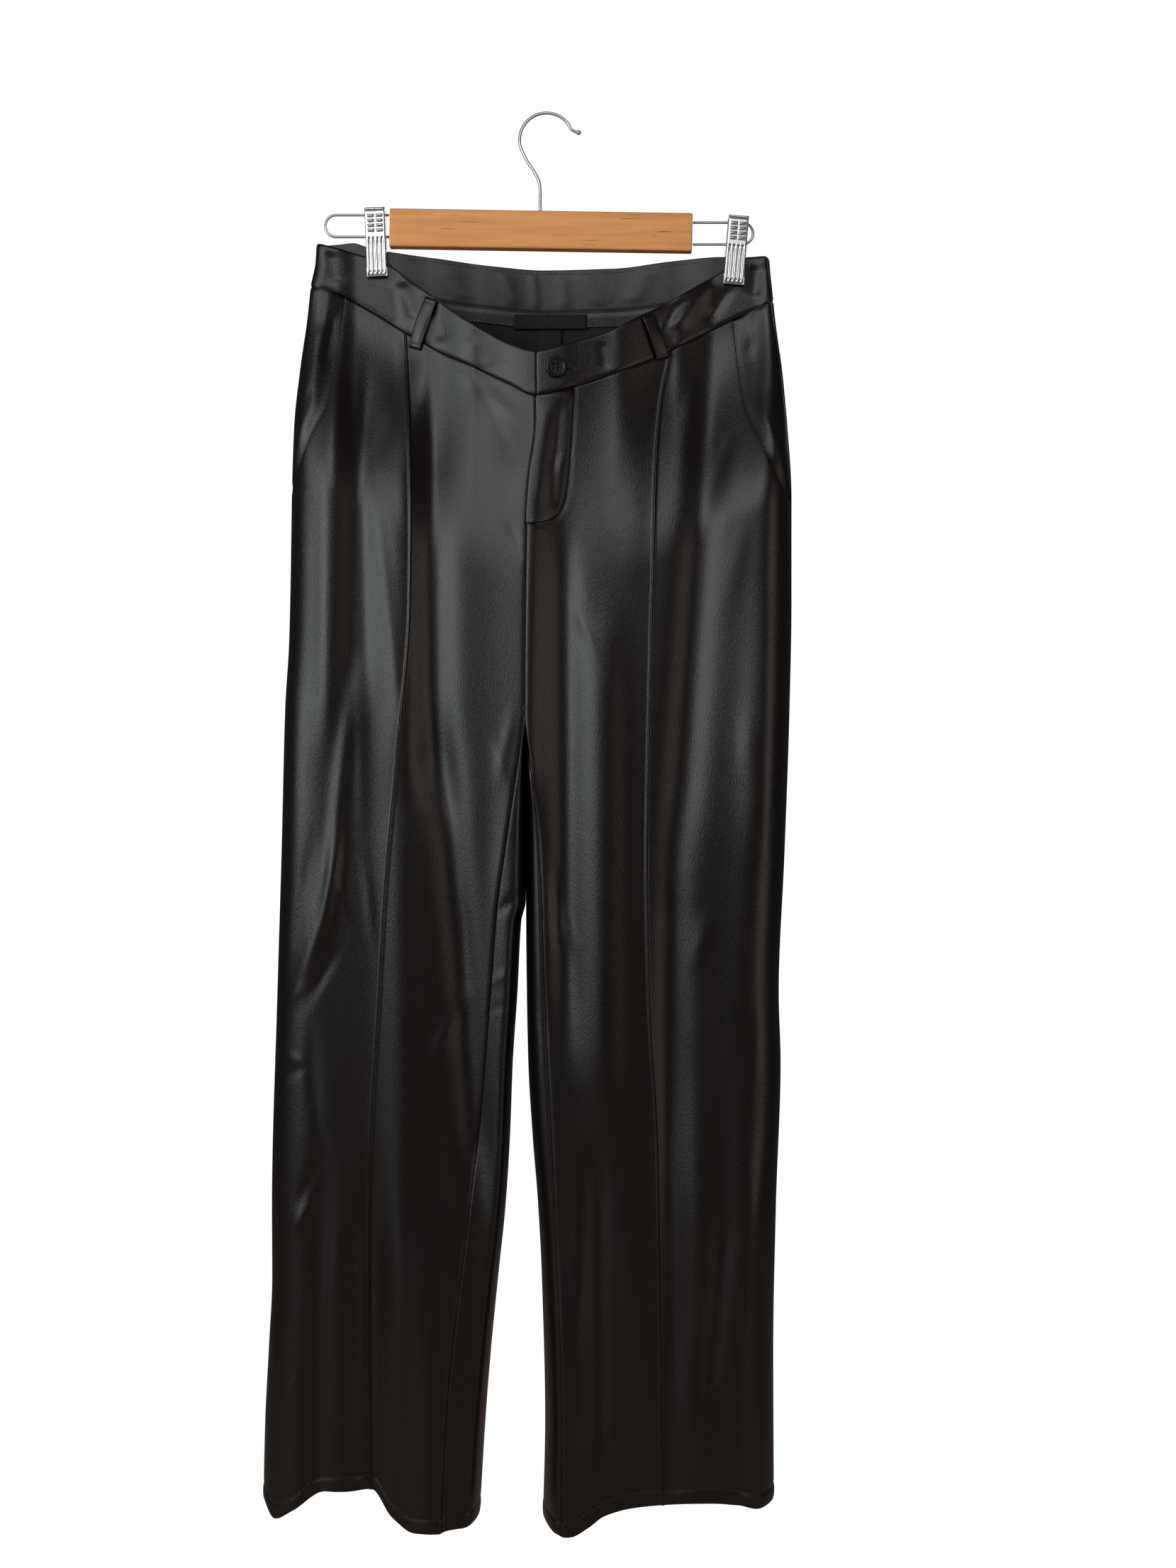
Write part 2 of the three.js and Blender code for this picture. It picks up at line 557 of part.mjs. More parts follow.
// Curved fly, lying on the front beside the centre line
function flyFlap() {
  const rows = 12;
  const grids = [0, 1].map((layer) => Array.from({ length: rows + 1 }, (_, i) => {
    return Array.from({ length: 5 }, (__, j) => {
      const share = i / rows;
      const topZ = frontSeam(4) - 3 * GAP;
      const guess = lerp(topZ, FLY_EDGE[FLY_EDGE.length - 1].z, 1 - (1 - share) ** 1.6);
      const centre = lookUp(CENTRE, 'z', 'front', guess) + 3 * GAP;
      const x = lerp(centre, lookUp(FLY_EDGE, 'z', 'x', guess), j / 4);
      const z = i === 0 ? frontSeam(x) - 3 * GAP : Math.min(guess, frontSeam(x) - 3 * GAP - 0.4 * i);
      return clothPoint(x, z, 'front', LAY + layer);
    });
  }));
  return closedWall(grids[1], grids[0]);
}

// Flat tape sewn inside the back
function innerTape(box, cloth) {
  const grids = [0, cloth].map((layer) => [0, 0.5, 1].map((down) => {
    return Array.from({ length: 9 }, (_, j) => {
      const x = lerp(box.x1, box.x2, j / 8);
      return clothPoint(x, lerp(box.z1, box.z2, down), 'back', -CLOTH - GAP - layer);
    });
  }));
  return closedWall(grids[0], grids[1]);
}

// Solid for joining and cutting, from a closed three.js geometry
function toSolid(source, matrix = new THREE.Matrix4()) {
  const geometry = source.clone().applyMatrix4(matrix);
  geometry.deleteAttribute('normal');
  geometry.deleteAttribute('uv');
  const merged = mergeVertices(geometry, 1e-4);
  return new wasm.Manifold(new wasm.Mesh({
    numProp: 3,
    vertProperties: new Float32Array(merged.attributes.position.array),
    triVerts: new Uint32Array(merged.index.array),
  }));
}

function fromSolid(solid) {
  const mesh = solid.getMesh();
  const geometry = new THREE.BufferGeometry();
  geometry.setAttribute('position', new THREE.Float32BufferAttribute(mesh.vertProperties, 3));
  geometry.setIndex(new THREE.Uint32BufferAttribute(mesh.triVerts, 1));
  return geometry;
}

const boxSolid = (width, depth, height, x, y, z) => toSolid(
  new THREE.BoxGeometry(width, depth, height),
  new THREE.Matrix4().makeTranslation(x, y, z),
);

// Button with a raised rim and four holes, its axis along Y and its face towards -Y
function buttonGeometry() {
  const { radius, thick, hole, holeSpread } = BUTTON;
  const profile = [
    new THREE.Vector2(0, 0), new THREE.Vector2(radius - 1, 0), new THREE.Vector2(radius, 0.8),
    new THREE.Vector2(radius, thick - 0.8), new THREE.Vector2(radius - 1, thick),
    new THREE.Vector2(radius - 2, thick), new THREE.Vector2(radius - 2.8, thick - 0.9),
    new THREE.Vector2(0, thick - 0.9),
  ];
  let solid = toSolid(new THREE.LatheGeometry(profile, 24));
  for (const [sx, sz] of [[1, 1], [1, -1], [-1, 1], [-1, -1]]) {
    const drill = new THREE.CylinderGeometry(hole, hole, 3 * thick, 8);
    const place = new THREE.Matrix4().makeTranslation(sx * holeSpread, 0, sz * holeSpread);
    solid = solid.subtract(toSolid(drill, place));
  }
  return fromSolid(solid);
}

// One half of a clip: a channel with a jaw, a folded top lip, grip ridges and long grooves.
// Its middle is at the origin, its outer face towards -Y.
function clipPlate(bandFace) {
  const { width, height, web, face, jaw } = CLIP;
  const flange = Math.min(CLIP.flange, face - bandFace - GAP);
  const half = height / 2;
  let solid = boxSolid(width, web, height, 0, -face + web / 2, 0);
  const jawDepth = face - web - bandFace - GAP;
  solid = solid.add(boxSolid(width, jawDepth + web, jaw, 0, -face + (jawDepth + web) / 2, -half + jaw / 2));
  solid = solid.add(boxSolid(width, web + 1.6, 2, 0, -face + web / 2 - 0.2, half - 1));
  for (const sign of [-1, 1]) {
    const x = sign * (width / 2 - 0.5);
    solid = solid.add(boxSolid(1, flange, height - 16, x, -face + flange / 2, 2));
    for (let row = 0; row < 4; row += 1) {
      solid = solid.add(boxSolid(5.4, 1.1, 1.3, sign * 3.4, -face - 0.2, half - 6 - row * 4));
    }
    for (const place of [1.6, 4.6]) {
      solid = solid.subtract(boxSolid(1.3, 1, height * 0.54, sign * place, -face, -half + height * 0.3));
    }
  }
  return fromSolid(solid);
}

// Sleeve that the clip turns on, round the lower rail
function clipPivot() {
  const inner = RAIL.wire / 2 + GAP;
  const outer = CLIP.face - CLIP.web - GAP;
  const half = 5.5;
  const profile = [[inner, -half], [outer, -half], [outer, half], [inner, half], [inner, -half]];
  return new THREE.LatheGeometry(profile.map(([x, y]) => new THREE.Vector2(x, y)), 20);
}

// Round wire along a curve
function wireAlong(curve, diameter, steps) {
  const section = new THREE.Shape();
  section.absarc(0, 0, diameter / 2, 0, Math.PI * 2);
  return new THREE.ExtrudeGeometry(section, { extrudePath: curve, steps, curveSegments: 4, bevelEnabled: false });
}

// Rail loop out of the end of the bar: two straight rails joined by a half circle
class RailCurve extends THREE.Curve {
  constructor(start, reach, z) {
    super();
    Object.assign(this, { start, reach, z });
  }

  getPoint(t, target = new THREE.Vector3()) {
    const sign = Math.sign(this.reach);
    const radius = RAIL.halfGap;
    const straight = Math.abs(this.reach) - radius;
    const total = 2 * straight + Math.PI * radius;
    const s = t * total;
    if (s < straight) return target.set(this.start + sign * s, 0, this.z + radius);
    if (s > total - straight) return target.set(this.start + sign * (total - s), 0, this.z - radius);
    const turn = (s - straight) / radius;
    const x = this.start + sign * (straight + radius * Math.sin(turn));
    return target.set(x, 0, this.z + radius * Math.cos(turn));
  }
}

// Hook: straight shaft, a bend to the left and a large arc over the top
function hookCurve() {
  const { radius, x, z, shaftX } = HOOK;
  const barTop = BAR.z + BAR.height / 2;
  const points = [
    new THREE.Vector3(shaftX, 0, barTop + 2 * GAP), new THREE.Vector3(shaftX, 0, -62),
    new THREE.Vector3(-10.4, 0, -53.5), new THREE.Vector3(-14.8, 0, -45), new THREE.Vector3(-20.4, 0, -36.6),
  ];
  const from = 195;
  const to = 24;
  for (let k = 0; k <= 12; k += 1) {
    const turn = THREE.MathUtils.degToRad(lerp(from, to, k / 12));
    points.push(new THREE.Vector3(x + radius * Math.cos(turn), 0, z + radius * Math.sin(turn)));
  }
  points.push(new THREE.Vector3(19.2, 0, -13.4), new THREE.Vector3(22.2, 0, -14.4));
  return new THREE.CatmullRomCurve3(points);
}

// Wooden bar with rounded long edges
function barGeometry() {
  const { length, height, thick } = BAR;
  const round = 1.4;
  const x = thick / 2;
  const y = height / 2;
  const shape = new THREE.Shape();
  shape.moveTo(-x + round, -y);
  shape.lineTo(x - round, -y);
  shape.absarc(x - round, -y + round, round, -Math.PI / 2, 0);
  shape.lineTo(x, y - round);
  shape.absarc(x - round, y - round, round, 0, Math.PI / 2);
  shape.lineTo(-x + round, y);
  shape.absarc(-x + round, y - round, round, Math.PI / 2, Math.PI);
  shape.lineTo(-x, -y + round);
  shape.absarc(-x + round, -y + round, round, Math.PI, Math.PI * 1.5);
  const geometry = new THREE.ExtrudeGeometry(shape, { depth: length, bevelEnabled: false, curveSegments: 4 });
  geometry.translate(0, 0, -length / 2);
  geometry.rotateX(-Math.PI / 2);
  geometry.rotateZ(Math.PI / 2);
  return geometry;
}

// The garment
for (const [name, side] of Object.entries(SIDES)) {
  addPiece(`front_${name}`, frontPanel(name, side), 'leather');
  addPiece(`back_${name}`, backPanel(name, side), 'leather');
  addPiece(`pocket_side_${name}`, pocketSide(side), 'leather');
  addPiece(`waistband_front_${name}`, frontBand(side), 'leather');
}
addPiece('waistband_back', ringWall({
  columns: backColumns(16),
  top: backTop,
  bottom: (x) => backSeam(x) + GAP / 2,
  levels: [2],
}), 'leather');
addPiece('waistband_back_facing', ringWall({
  columns: backColumns(16).slice(1, -1),
  top: (x) => backTop(x) - 1,
  bottom: (x) => backSeam(x) + 1,
  levels: [2],
  lift: -CLOTH - GAP,
  cloth: FACING_CLOTH,
}), 'facing');
addPiece('fly_flap', flyFlap(), 'leather');
addPiece('belt_loop_front_left', beltLoop({ x: -96.5, z: -152.5 }, { x: -110.5, z: -193 }, 'front'), 'leather');
addPiece('belt_loop_front_right', beltLoop({ x: 77.5, z: -168 }, { x: 90, z: -203 }, 'front'), 'leather');
addPiece('belt_loop_back', beltLoop({ x: -5, z: -124.6 }, { x: -5, z: -166 }, 'back'), 'leather');
addPiece('label', innerTape({ x1: -31.5, x2: 29, z1: -161, z2: -173 }, 0.6), 'label');
addPiece('size_tab', innerTape({ x1: -10.3, x2: 8, z1: -173.4, z2: -199 }, 0.6), 'label');

const button = addPiece('button', buttonGeometry(), 'button');
const seat = clothPoint(BUTTON.x, BUTTON.z, 'front', GAP);
const facing = clothPoint(BUTTON.x, BUTTON.z, 'front', 1 + GAP).sub(seat);
button.position.copy(seat);
button.quaternion.setFromUnitVectors(new THREE.Vector3(0, 1, 0), facing.normalize());

// The hanger
const bar = addPiece('hanger_bar', barGeometry(), 'wood');
bar.position.set(BAR.x, 0, BAR.z);
bar.rotation.y = BAR.tilt;
const ball = new THREE.SphereGeometry(HOOK.ballRadius, 12, 8).translate(22.2, 0, -14.4);
const hookWire = wireAlong(hookCurve(), HOOK.wire, 44);
addPiece('hanger_hook', fromSolid(toSolid(hookWire).add(toSolid(ball))), 'zinc');

const HANGER_SIDES = [
  { name: 'left', start: -132.4, reach: -52, rail: -90.6, clipX: -142.6, clipZ: -105.2, lean: -0.04 },
  { name: 'right', start: 115.4, reach: 49, rail: -96.7, clipX: 150.2, clipZ: -111.6, lean: 0.08 },
];
for (const row of HANGER_SIDES) {
  const rail = wireAlong(new RailCurve(row.start, row.reach, row.rail), RAIL.wire, 28);
  addPiece(`hanger_rail_${row.name}`, rail, 'zinc');
  const pivot = addPiece(`clip_pivot_${row.name}`, clipPivot(), 'nickel');
  pivot.rotation.z = Math.PI / 2;
  pivot.position.set(row.clipX, 0, row.rail - RAIL.halfGap);
  const faces = { front: WAIST_DEPTH[2].front, back: WAIST_DEPTH[2].back };
  for (const [face, bandFace] of Object.entries(faces)) {
    const plate = addPiece(`clip_${face}_${row.name}`, clipPlate(bandFace), 'nickel');
    plate.position.set(row.clipX, 0, row.clipZ);
    plate.rotation.y = row.lean;
    if (face === 'back') {
      plate.rotation.y = -row.lean;
      plate.rotation.z = Math.PI;
      plate.rotation.order = 'ZYX';
    }
  }
}

export default group;
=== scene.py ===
"""Black faux leather trousers hanging from a wooden clip hanger, dressed for a studio picture.

Lengths in the tables are millimetres in the frame's axes: +X to the viewer's right, +Y to the wall,
+Z up, with the origin under the arc of the hanger's hook. Meshes are made in metres.
"""
import logging
import math
from dataclasses import dataclass, field
from enum import Enum
from typing import Callable, Sequence

import bmesh
import bpy
import numpy as np
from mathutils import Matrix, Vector


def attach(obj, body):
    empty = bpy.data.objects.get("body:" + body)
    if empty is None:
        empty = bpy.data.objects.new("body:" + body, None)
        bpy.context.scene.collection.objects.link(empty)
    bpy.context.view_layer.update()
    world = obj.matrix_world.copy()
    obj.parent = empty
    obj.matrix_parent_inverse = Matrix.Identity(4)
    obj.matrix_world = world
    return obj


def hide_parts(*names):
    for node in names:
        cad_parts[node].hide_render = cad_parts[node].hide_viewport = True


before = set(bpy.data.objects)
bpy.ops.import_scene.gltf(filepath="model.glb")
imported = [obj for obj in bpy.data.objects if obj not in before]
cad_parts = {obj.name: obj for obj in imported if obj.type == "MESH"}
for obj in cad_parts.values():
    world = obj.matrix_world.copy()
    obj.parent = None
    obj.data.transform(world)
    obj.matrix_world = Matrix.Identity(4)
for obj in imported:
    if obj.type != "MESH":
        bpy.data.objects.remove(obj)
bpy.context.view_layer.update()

LOG = logging.getLogger("trousers")
MM = 0.001
Array = np.ndarray
Table = Sequence[tuple[float, ...]]


class Face(Enum):
    """The two faces of the hanging garment."""

    FRONT = 1
    BACK = 2


class Way(Enum):
    """How a line runs between two rows of a table."""

    EASED = 1
    ROUNDED = 2


@dataclass(frozen=True)
class Fold:
    """One soft trough or ridge of the cloth, straight or bowed between two ends.

    Attributes:
        start: x and z of its upper end.
        end: x and z of its lower end.
        width: Distance from its line at which it has mostly died away.
        height: How far it stands out; below zero it is a trough.
        bow: Sideways bend of its middle.
        fade: Share of its length over which each end dies away.
    """

    start: tuple[float, float]
    end: tuple[float, float]
    width: float
    height: float
    bow: float = 0.0
    fade: float = 0.22


def ease(value: Array) -> Array:
    """Return the smooth step 3t^2 - 2t^3 of a value held between 0 and 1."""
    t = np.clip(value, 0.0, 1.0)
    return t * t * (3.0 - 2.0 * t)


def look_up(table: Table, by: int, column: int, place: Array, way: Way = Way.ROUNDED) -> Array:
    """Read one column of a table at places along another.

    A rounded line is a cubic in each span, with the slope at a row kept to no more than what
    holds the line between its neighbours: the harmonic mean of the slopes on both sides, or none
    where they differ in sign.

    Args:
        table: Rows in rising or falling order of the column read along.
        by: Column that the places are measured in.
        column: Column to read.
        place: Where to read it.
        way: How the line runs between two rows.

    Returns:
        The column's values, held at the table's ends.
    """
    rows = np.array(sorted(table, key=lambda row: row[by]), dtype=float)
    stops = rows[:, by]
    values = rows[:, column]
    spot = np.clip(place, stops[0], stops[-1])
    index = np.clip(np.searchsorted(stops, spot, side="right") - 1, 0, len(stops) - 2)
    span = stops[index + 1] - stops[index]
    share = (spot - stops[index]) / span
    if way is not Way.ROUNDED:
        share = ease(share) if way is Way.EASED else share
        return values[index] + (values[index + 1] - values[index]) * share
    steps = np.diff(values) / np.diff(stops)
    product = steps[1:] * steps[:-1]
    total = np.where(np.abs(steps[1:] + steps[:-1]) < 1e-12, 1.0, steps[1:] + steps[:-1])
    slopes = np.concatenate([steps[:1], np.where(product > 0, 2 * product / total, 0.0), steps[-1:]])
    rise = share * share * (3 - 2 * share)
    lead = share * (1 - share) ** 2 * slopes[index] * span
    trail = share * share * (share - 1) * slopes[index + 1] * span
    return values[index] + (values[index + 1] - values[index]) * rise + lead + trail


def fold_height(folds: Sequence[Fold], x: Array, z: Array) -> Array:
    """Add up the folds at each place.

    Each fold is its height times exp(-(distance / width)^2), faded at both ends by a smooth step.

    Args:
        folds: The folds of one face.
        x: Sideways places.
        z: Heights.

    Returns:
        The height of the cloth over its plain form.
    """
    total = np.zeros(np.broadcast(x, z).shape)
    for fold in folds:
        along = (fold.start[1] - z) / (fold.start[1] - fold.end[1])
        middle = fold.start[0] + (fold.end[0] - fold.start[0]) * along
        middle = middle + fold.bow * 4.0 * along * (1.0 - along)
        alive = ease(along / fold.fade) * ease((1.0 - along) / fold.fade)
        total += fold.height * alive * np.exp(-(((x - middle) / fold.width) ** 2))
    return total


# Waist lines and depths: x, z or x, front, back
FRONT_TOP: Table = (
    (-192, -105.5), (-172, -110.5), (-154, -115), (-134, -121.5), (-112, -138.5), (-89, -155.5),
    (-72, -169), (-55, -180), (-33, -192.5), (-12, -199.5), (22, -190.5), (50, -180.5), (72, -168.5),
    (100, -152.5), (140, -127.5), (160, -116.5), (173, -116), (180, -117.5),
)
FRONT_SEAM: Table = (
    (-197, -140.5), (-173, -147), (-146, -161), (-117, -179), (-89, -196), (-60, -210.5),
    (-33, -224.5), (-12, -234.5), (19, -227), (50, -216), (77, -204.5), (105, -190), (134, -174),
    (162, -161), (182, -152.5),
)
BACK_TOP: Table = (
    (-192, -105.5), (-163, -103.5), (-150, -107), (-134, -110.5), (-91, -116), (-45, -121.5),
    (-6, -124), (50, -123), (106, -117), (140, -115), (165, -115.5), (180, -117.5),
)
BACK_SEAM: Table = (
    (-197, -140.5), (-163, -140), (-134, -146), (-91, -152), (-62, -155.5), (-6, -160), (50, -159),
    (106, -153.5), (140, -151), (182, -152.5),
)
WAIST_DEPTH: Table = (
    (-192, 8, 8), (-175, 7, 8.5), (-158, 3, 4.6), (-129, 3, 4.6), (-100, 12, 7), (-60, 26, 10),
    (-10, 38, 13), (50, 30, 11), (100, 13, 8), (133, 3, 4.6), (164, 3, 4.6), (180, 7, 8),
)
# Sections down the legs: z, front half depth, back half depth, outer, inner front and inner back radius
SECTIONS: Table = (
    (-120, 30, 27, 10, 0, 0), (-170, 30.2, 27.2, 11, 0, 0), (-300, 31, 28, 30, 0, 0),
    (-440, 32, 28.6, 36, 0, 0), (-493, 32.4, 28.8, 38, 0, 9), (-525, 32.6, 28.9, 38, 11, 14),
    (-600, 33, 29, 38, 20, 22), (-800, 33.8, 28.6, 38, 28, 30), (-1150, 35, 27, 40, 32, 34),
)
# Centre lines above the crotch: z, front x, back x
CENTRE: Table = (
    (-195, -12, -5), (-258, -11.5, -12), (-296, -16.5, -15), (-340, -19.3, -18), (-440, -20.5, -20.5),
)
# Curved lower edge of the fly: z, x down its side, then x, z along its foot
FLY_EDGE: Table = (
    (-227, 19.4), (-258, 17.7), (-291, 15.5), (-317, 12.5), (-330, 7), (-336, -1), (-339, -14),
)
FLY_FOOT: Table = ((-14, -339), (-8, -338.2), (-1, -336))
CROTCH_TOP = -440.0
CROTCH = -493.0
MID_SHIFT = -12.0
SEAM_BLEND = 170.0
CLOTH = 1.3
SEAM_TRIM = 0.05
HEM_LINE = 11.5
BAR_TILT = 0.0157
# Upper and lower ends of the belt loops: x, z
LEFT_LOOP = ((-96.5, -152.5), (-110.5, -193.0))
RIGHT_LOOP = ((77.5, -168.0), (90.0, -202.0))
BACK_LOOP = ((-5.0, -124.6), (-5.0, -166.0))
LOOP_SEAT = 2.3
LOOP_RISE = 2.0
# Middle of the buttonhole: x, z
BUTTONHOLE = (14.0, -212.4)
FRONT_CLIPS = ("clip_front_left", "clip_front_right")
BACK_CLIPS = ("clip_back_left", "clip_back_right")


@dataclass
class Side:
    """One half of the garment, with its outline, seams and folds by height.

    Attributes:
        name: Word used in its pieces' names.
        direction: 1 where the centre lies at greater x, -1 where it lies at smaller x.
        outseam: Distance of the outer seam round the front from the outermost line.
        outer: z and x of the outermost line.
        inner: z and x of the innermost line below the crotch.
        inseam: z and x of the inner leg seam.
        tuck: z and x of the pin tuck.
        pocket: z and x of the pocket mouth.
        front_hem: x and z of the front hem.
        back_hem: x and z of the back hem.
        front_folds: Folds of the front.
        back_folds: Folds of the back.
        hip_folds: Folds of the hip piece alone.
        inner_turn: Share of the usual radius at the front's inner turn.
    """

    name: str
    direction: int
    outseam: float
    outer: Table
    inner: Table
    inseam: Table
    tuck: Table
    pocket: Table
    front_hem: Table
    back_hem: Table
    front_folds: Sequence[Fold]
    back_folds: Sequence[Fold]
    hip_folds: Sequence[Fold]
    inner_turn: float = 1.0


LEFT = Side(
    name="left",
    direction=1,
    outseam=0.0,
    outer=(
        (-105, -191.5), (-121, -192.5), (-141, -196.5), (-170, -199.5), (-210, -204.5),
        (-256, -208.5), (-428, -212), (-485, -215.3), (-600, -218.2), (-714, -221.6), (-886, -226),
        (-943, -225.8), (-1001, -228.5), (-1058, -231.4), (-1150, -233.5),
    ),
    inner=(
        (-493, -20.5), (-600, -20.45), (-640, -20.5), (-657, -24.2), (-714, -27.2), (-771, -31), (-829, -33.2),
        (-886, -36.8), (-943, -42.7), (-1001, -48.4), (-1058, -53), (-1150, -58.5),
    ),
    inseam=(
        (-493, -20.8), (-534, -26.8), (-593, -35.7), (-640, -42.5), (-713, -48.4), (-829, -58.3),
        (-932, -70.2), (-1049, -81.9), (-1150, -86.5),
    ),
    tuck=(
        (-170, -118.5), (-187, -117.8), (-270, -113.8), (-344, -111.8), (-404, -112.4),
        (-525, -121.6), (-629, -130.6), (-728, -136.5), (-827, -142.4), (-948, -144.8),
        (-1100, -143.2),
    ),
    pocket=((-152, -167.6), (-239, -179), (-270, -193.3), (-305, -206.5), (-315, -212)),
    front_hem=(
        (-231, -1121), (-221, -1132), (-206, -1124), (-178, -1108), (-143, -1108), (-126, -1128),
        (-108, -1139), (-70, -1139), (-58, -1133),
    ),
    back_hem=((-231, -1121), (-200, -1114), (-120, -1113), (-58, -1133)),
    front_folds=(
        Fold((-117, -195), (-115, -570), 18, 5.5),
        Fold((-120, -470), (-114, -1060), 17, 5),
        Fold((-97, -205), (-92, -600), 15, -8),
        Fold((-90, -470), (-54, -900), 13, -6.5),
        Fold((-3, -222), (-8, -610), 34, 7.1),
        Fold((-29, -510), (-35, -1000), 14, 6),
        Fold((-173, -190), (-178, -540), 10, 4),
        Fold((-152, -200), (-152, -500), 9, -4),
        Fold((-154, -440), (-180, -690), 6, 2.6, bow=-2.0, fade=0.3),
        Fold((-166, -560), (-211, -730), 6, 3, bow=9.0, fade=0.35),
        Fold((-186, -570), (-209, -708), 5, -1.4, fade=0.4),
        Fold((-141, -300), (-116, -520), 5, 1.2, fade=0.4),
        Fold((-207, -370), (-212, -700), 15, 4, fade=0.4),
        Fold((-182, -800), (-190, -1300), 10, -4),
        Fold((-144, -820), (-144, -1400), 12, -8),
        Fold((-96, -850), (-92, -1400), 20, 8),
        Fold((-158, -170), (-152, -330), 5.2, 1.12, fade=0.5),
        Fold((-155, -285), (-149, -640), 4.6, 1.5, fade=0.5),
        Fold((-149, -590), (-139, -690), 3.6, 1.1, fade=0.5),
        Fold((-173, -612), (-160, -658), 3.2, 0.9, fade=0.5),
        Fold((-189, -715), (-180, -850), 5.8, -2.2, bow=-4.0, fade=0.5),
        Fold((-163, -668), (-198, -733), 4, -1.4, bow=-2.0, fade=0.5),
        Fold((-195, -700), (-214, -730), 4, 1.1, fade=0.5),
        Fold((-219, -755), (-196, -772), 6, 0.9, fade=0.5),
        Fold((-195, -766), (-219, -786), 6, -1.1, fade=0.5),
        Fold((-82, -205), (-24, -262), 6.9, 0.99, bow=4.0, fade=0.5),
        Fold((-60, -228), (-28, -300), 5.8, -0.74, bow=3.0, fade=0.5),
        Fold((-36, -330), (-22, -372), 5.8, -0.99, fade=0.5),
        Fold((-47, -500), (-30, -560), 4.6, 0.87, fade=0.5),
        Fold((-62, -700), (-104, -790), 8, 1.36, fade=0.5),
        Fold((-186, -868), (-215, -920), 5, 1.9, fade=0.5),
        Fold((-183, -835), (-204, -890), 4.4, -1.7, fade=0.5),
        Fold((-200, -1012), (-216, -1040), 4.4, 1.0, fade=0.5),
        Fold((-222, -930), (-222, -1090), 9, 1.3, fade=0.5),
        Fold((-170, -880), (-182, -1010), 5.8, 0.99, bow=3.0, fade=0.5),
        Fold((-122, -760), (-120, -1120), 6.9, 1.24, fade=0.5),
        Fold((-27, -470), (-44, -560), 4.6, 0.9, fade=0.5),
        Fold((-24, -628), (-42, -652), 3.6, -1.8, fade=0.5),
        Fold((-27, -690), (-50, -708), 3.4, 0.9, fade=0.5),
        Fold((-29, -716), (-50, -728), 3.4, -0.7, fade=0.5),
        Fold((-200, -300), (-198, -470), 8, 0.93, fade=0.5),
        Fold((-134, -240), (-138, -300), 5.8, -0.74, fade=0.5),
        Fold((-70, -620), (-66, -720), 5.8, -0.87, fade=0.5),
    ),
    back_folds=(
        Fold((-150, -260), (-165, -700), 14, 4),
        Fold((-90, -200), (-80, -560), 16, -4),
        Fold((-60, -340), (-40, -520), 11, -3),
        Fold((-130, -560), (-150, -1400), 15, -4),
        Fold((-80, -650), (-95, -1300), 16, 4),
        Fold((-40, -470), (-70, -560), 5.8, 1.12, bow=-3.0, fade=0.5),
        Fold((-44, -520), (-84, -640), 5.8, -1.12, bow=-3.0, fade=0.5),
        Fold((-170, -210), (-150, -330), 8, 1.12, fade=0.5),
        Fold((-120, -230), (-104, -420), 9.2, 1.12, fade=0.5),
        Fold((-60, -300), (-28, -420), 5.8, 0.93, bow=3.0, fade=0.5),
        Fold((-186, -480), (-196, -800), 9.2, 1.36, fade=0.5),
        Fold((-110, -640), (-120, -900), 9.2, 1.12, fade=0.5),
        Fold((-170, -820), (-180, -1090), 8, -1.24, fade=0.5),
        Fold((-24, -585), (-60, -600), 4.6, 0.74, fade=0.5),
        Fold((-28, -655), (-70, -690), 5.2, -0.87, fade=0.5),
    ),
    hip_folds=(Fold((-186, -170), (-196, -235), 4, 0.8), Fold((-176, -160), (-184, -210), 3.5, -0.8)),
    inner_turn=0.3,
)
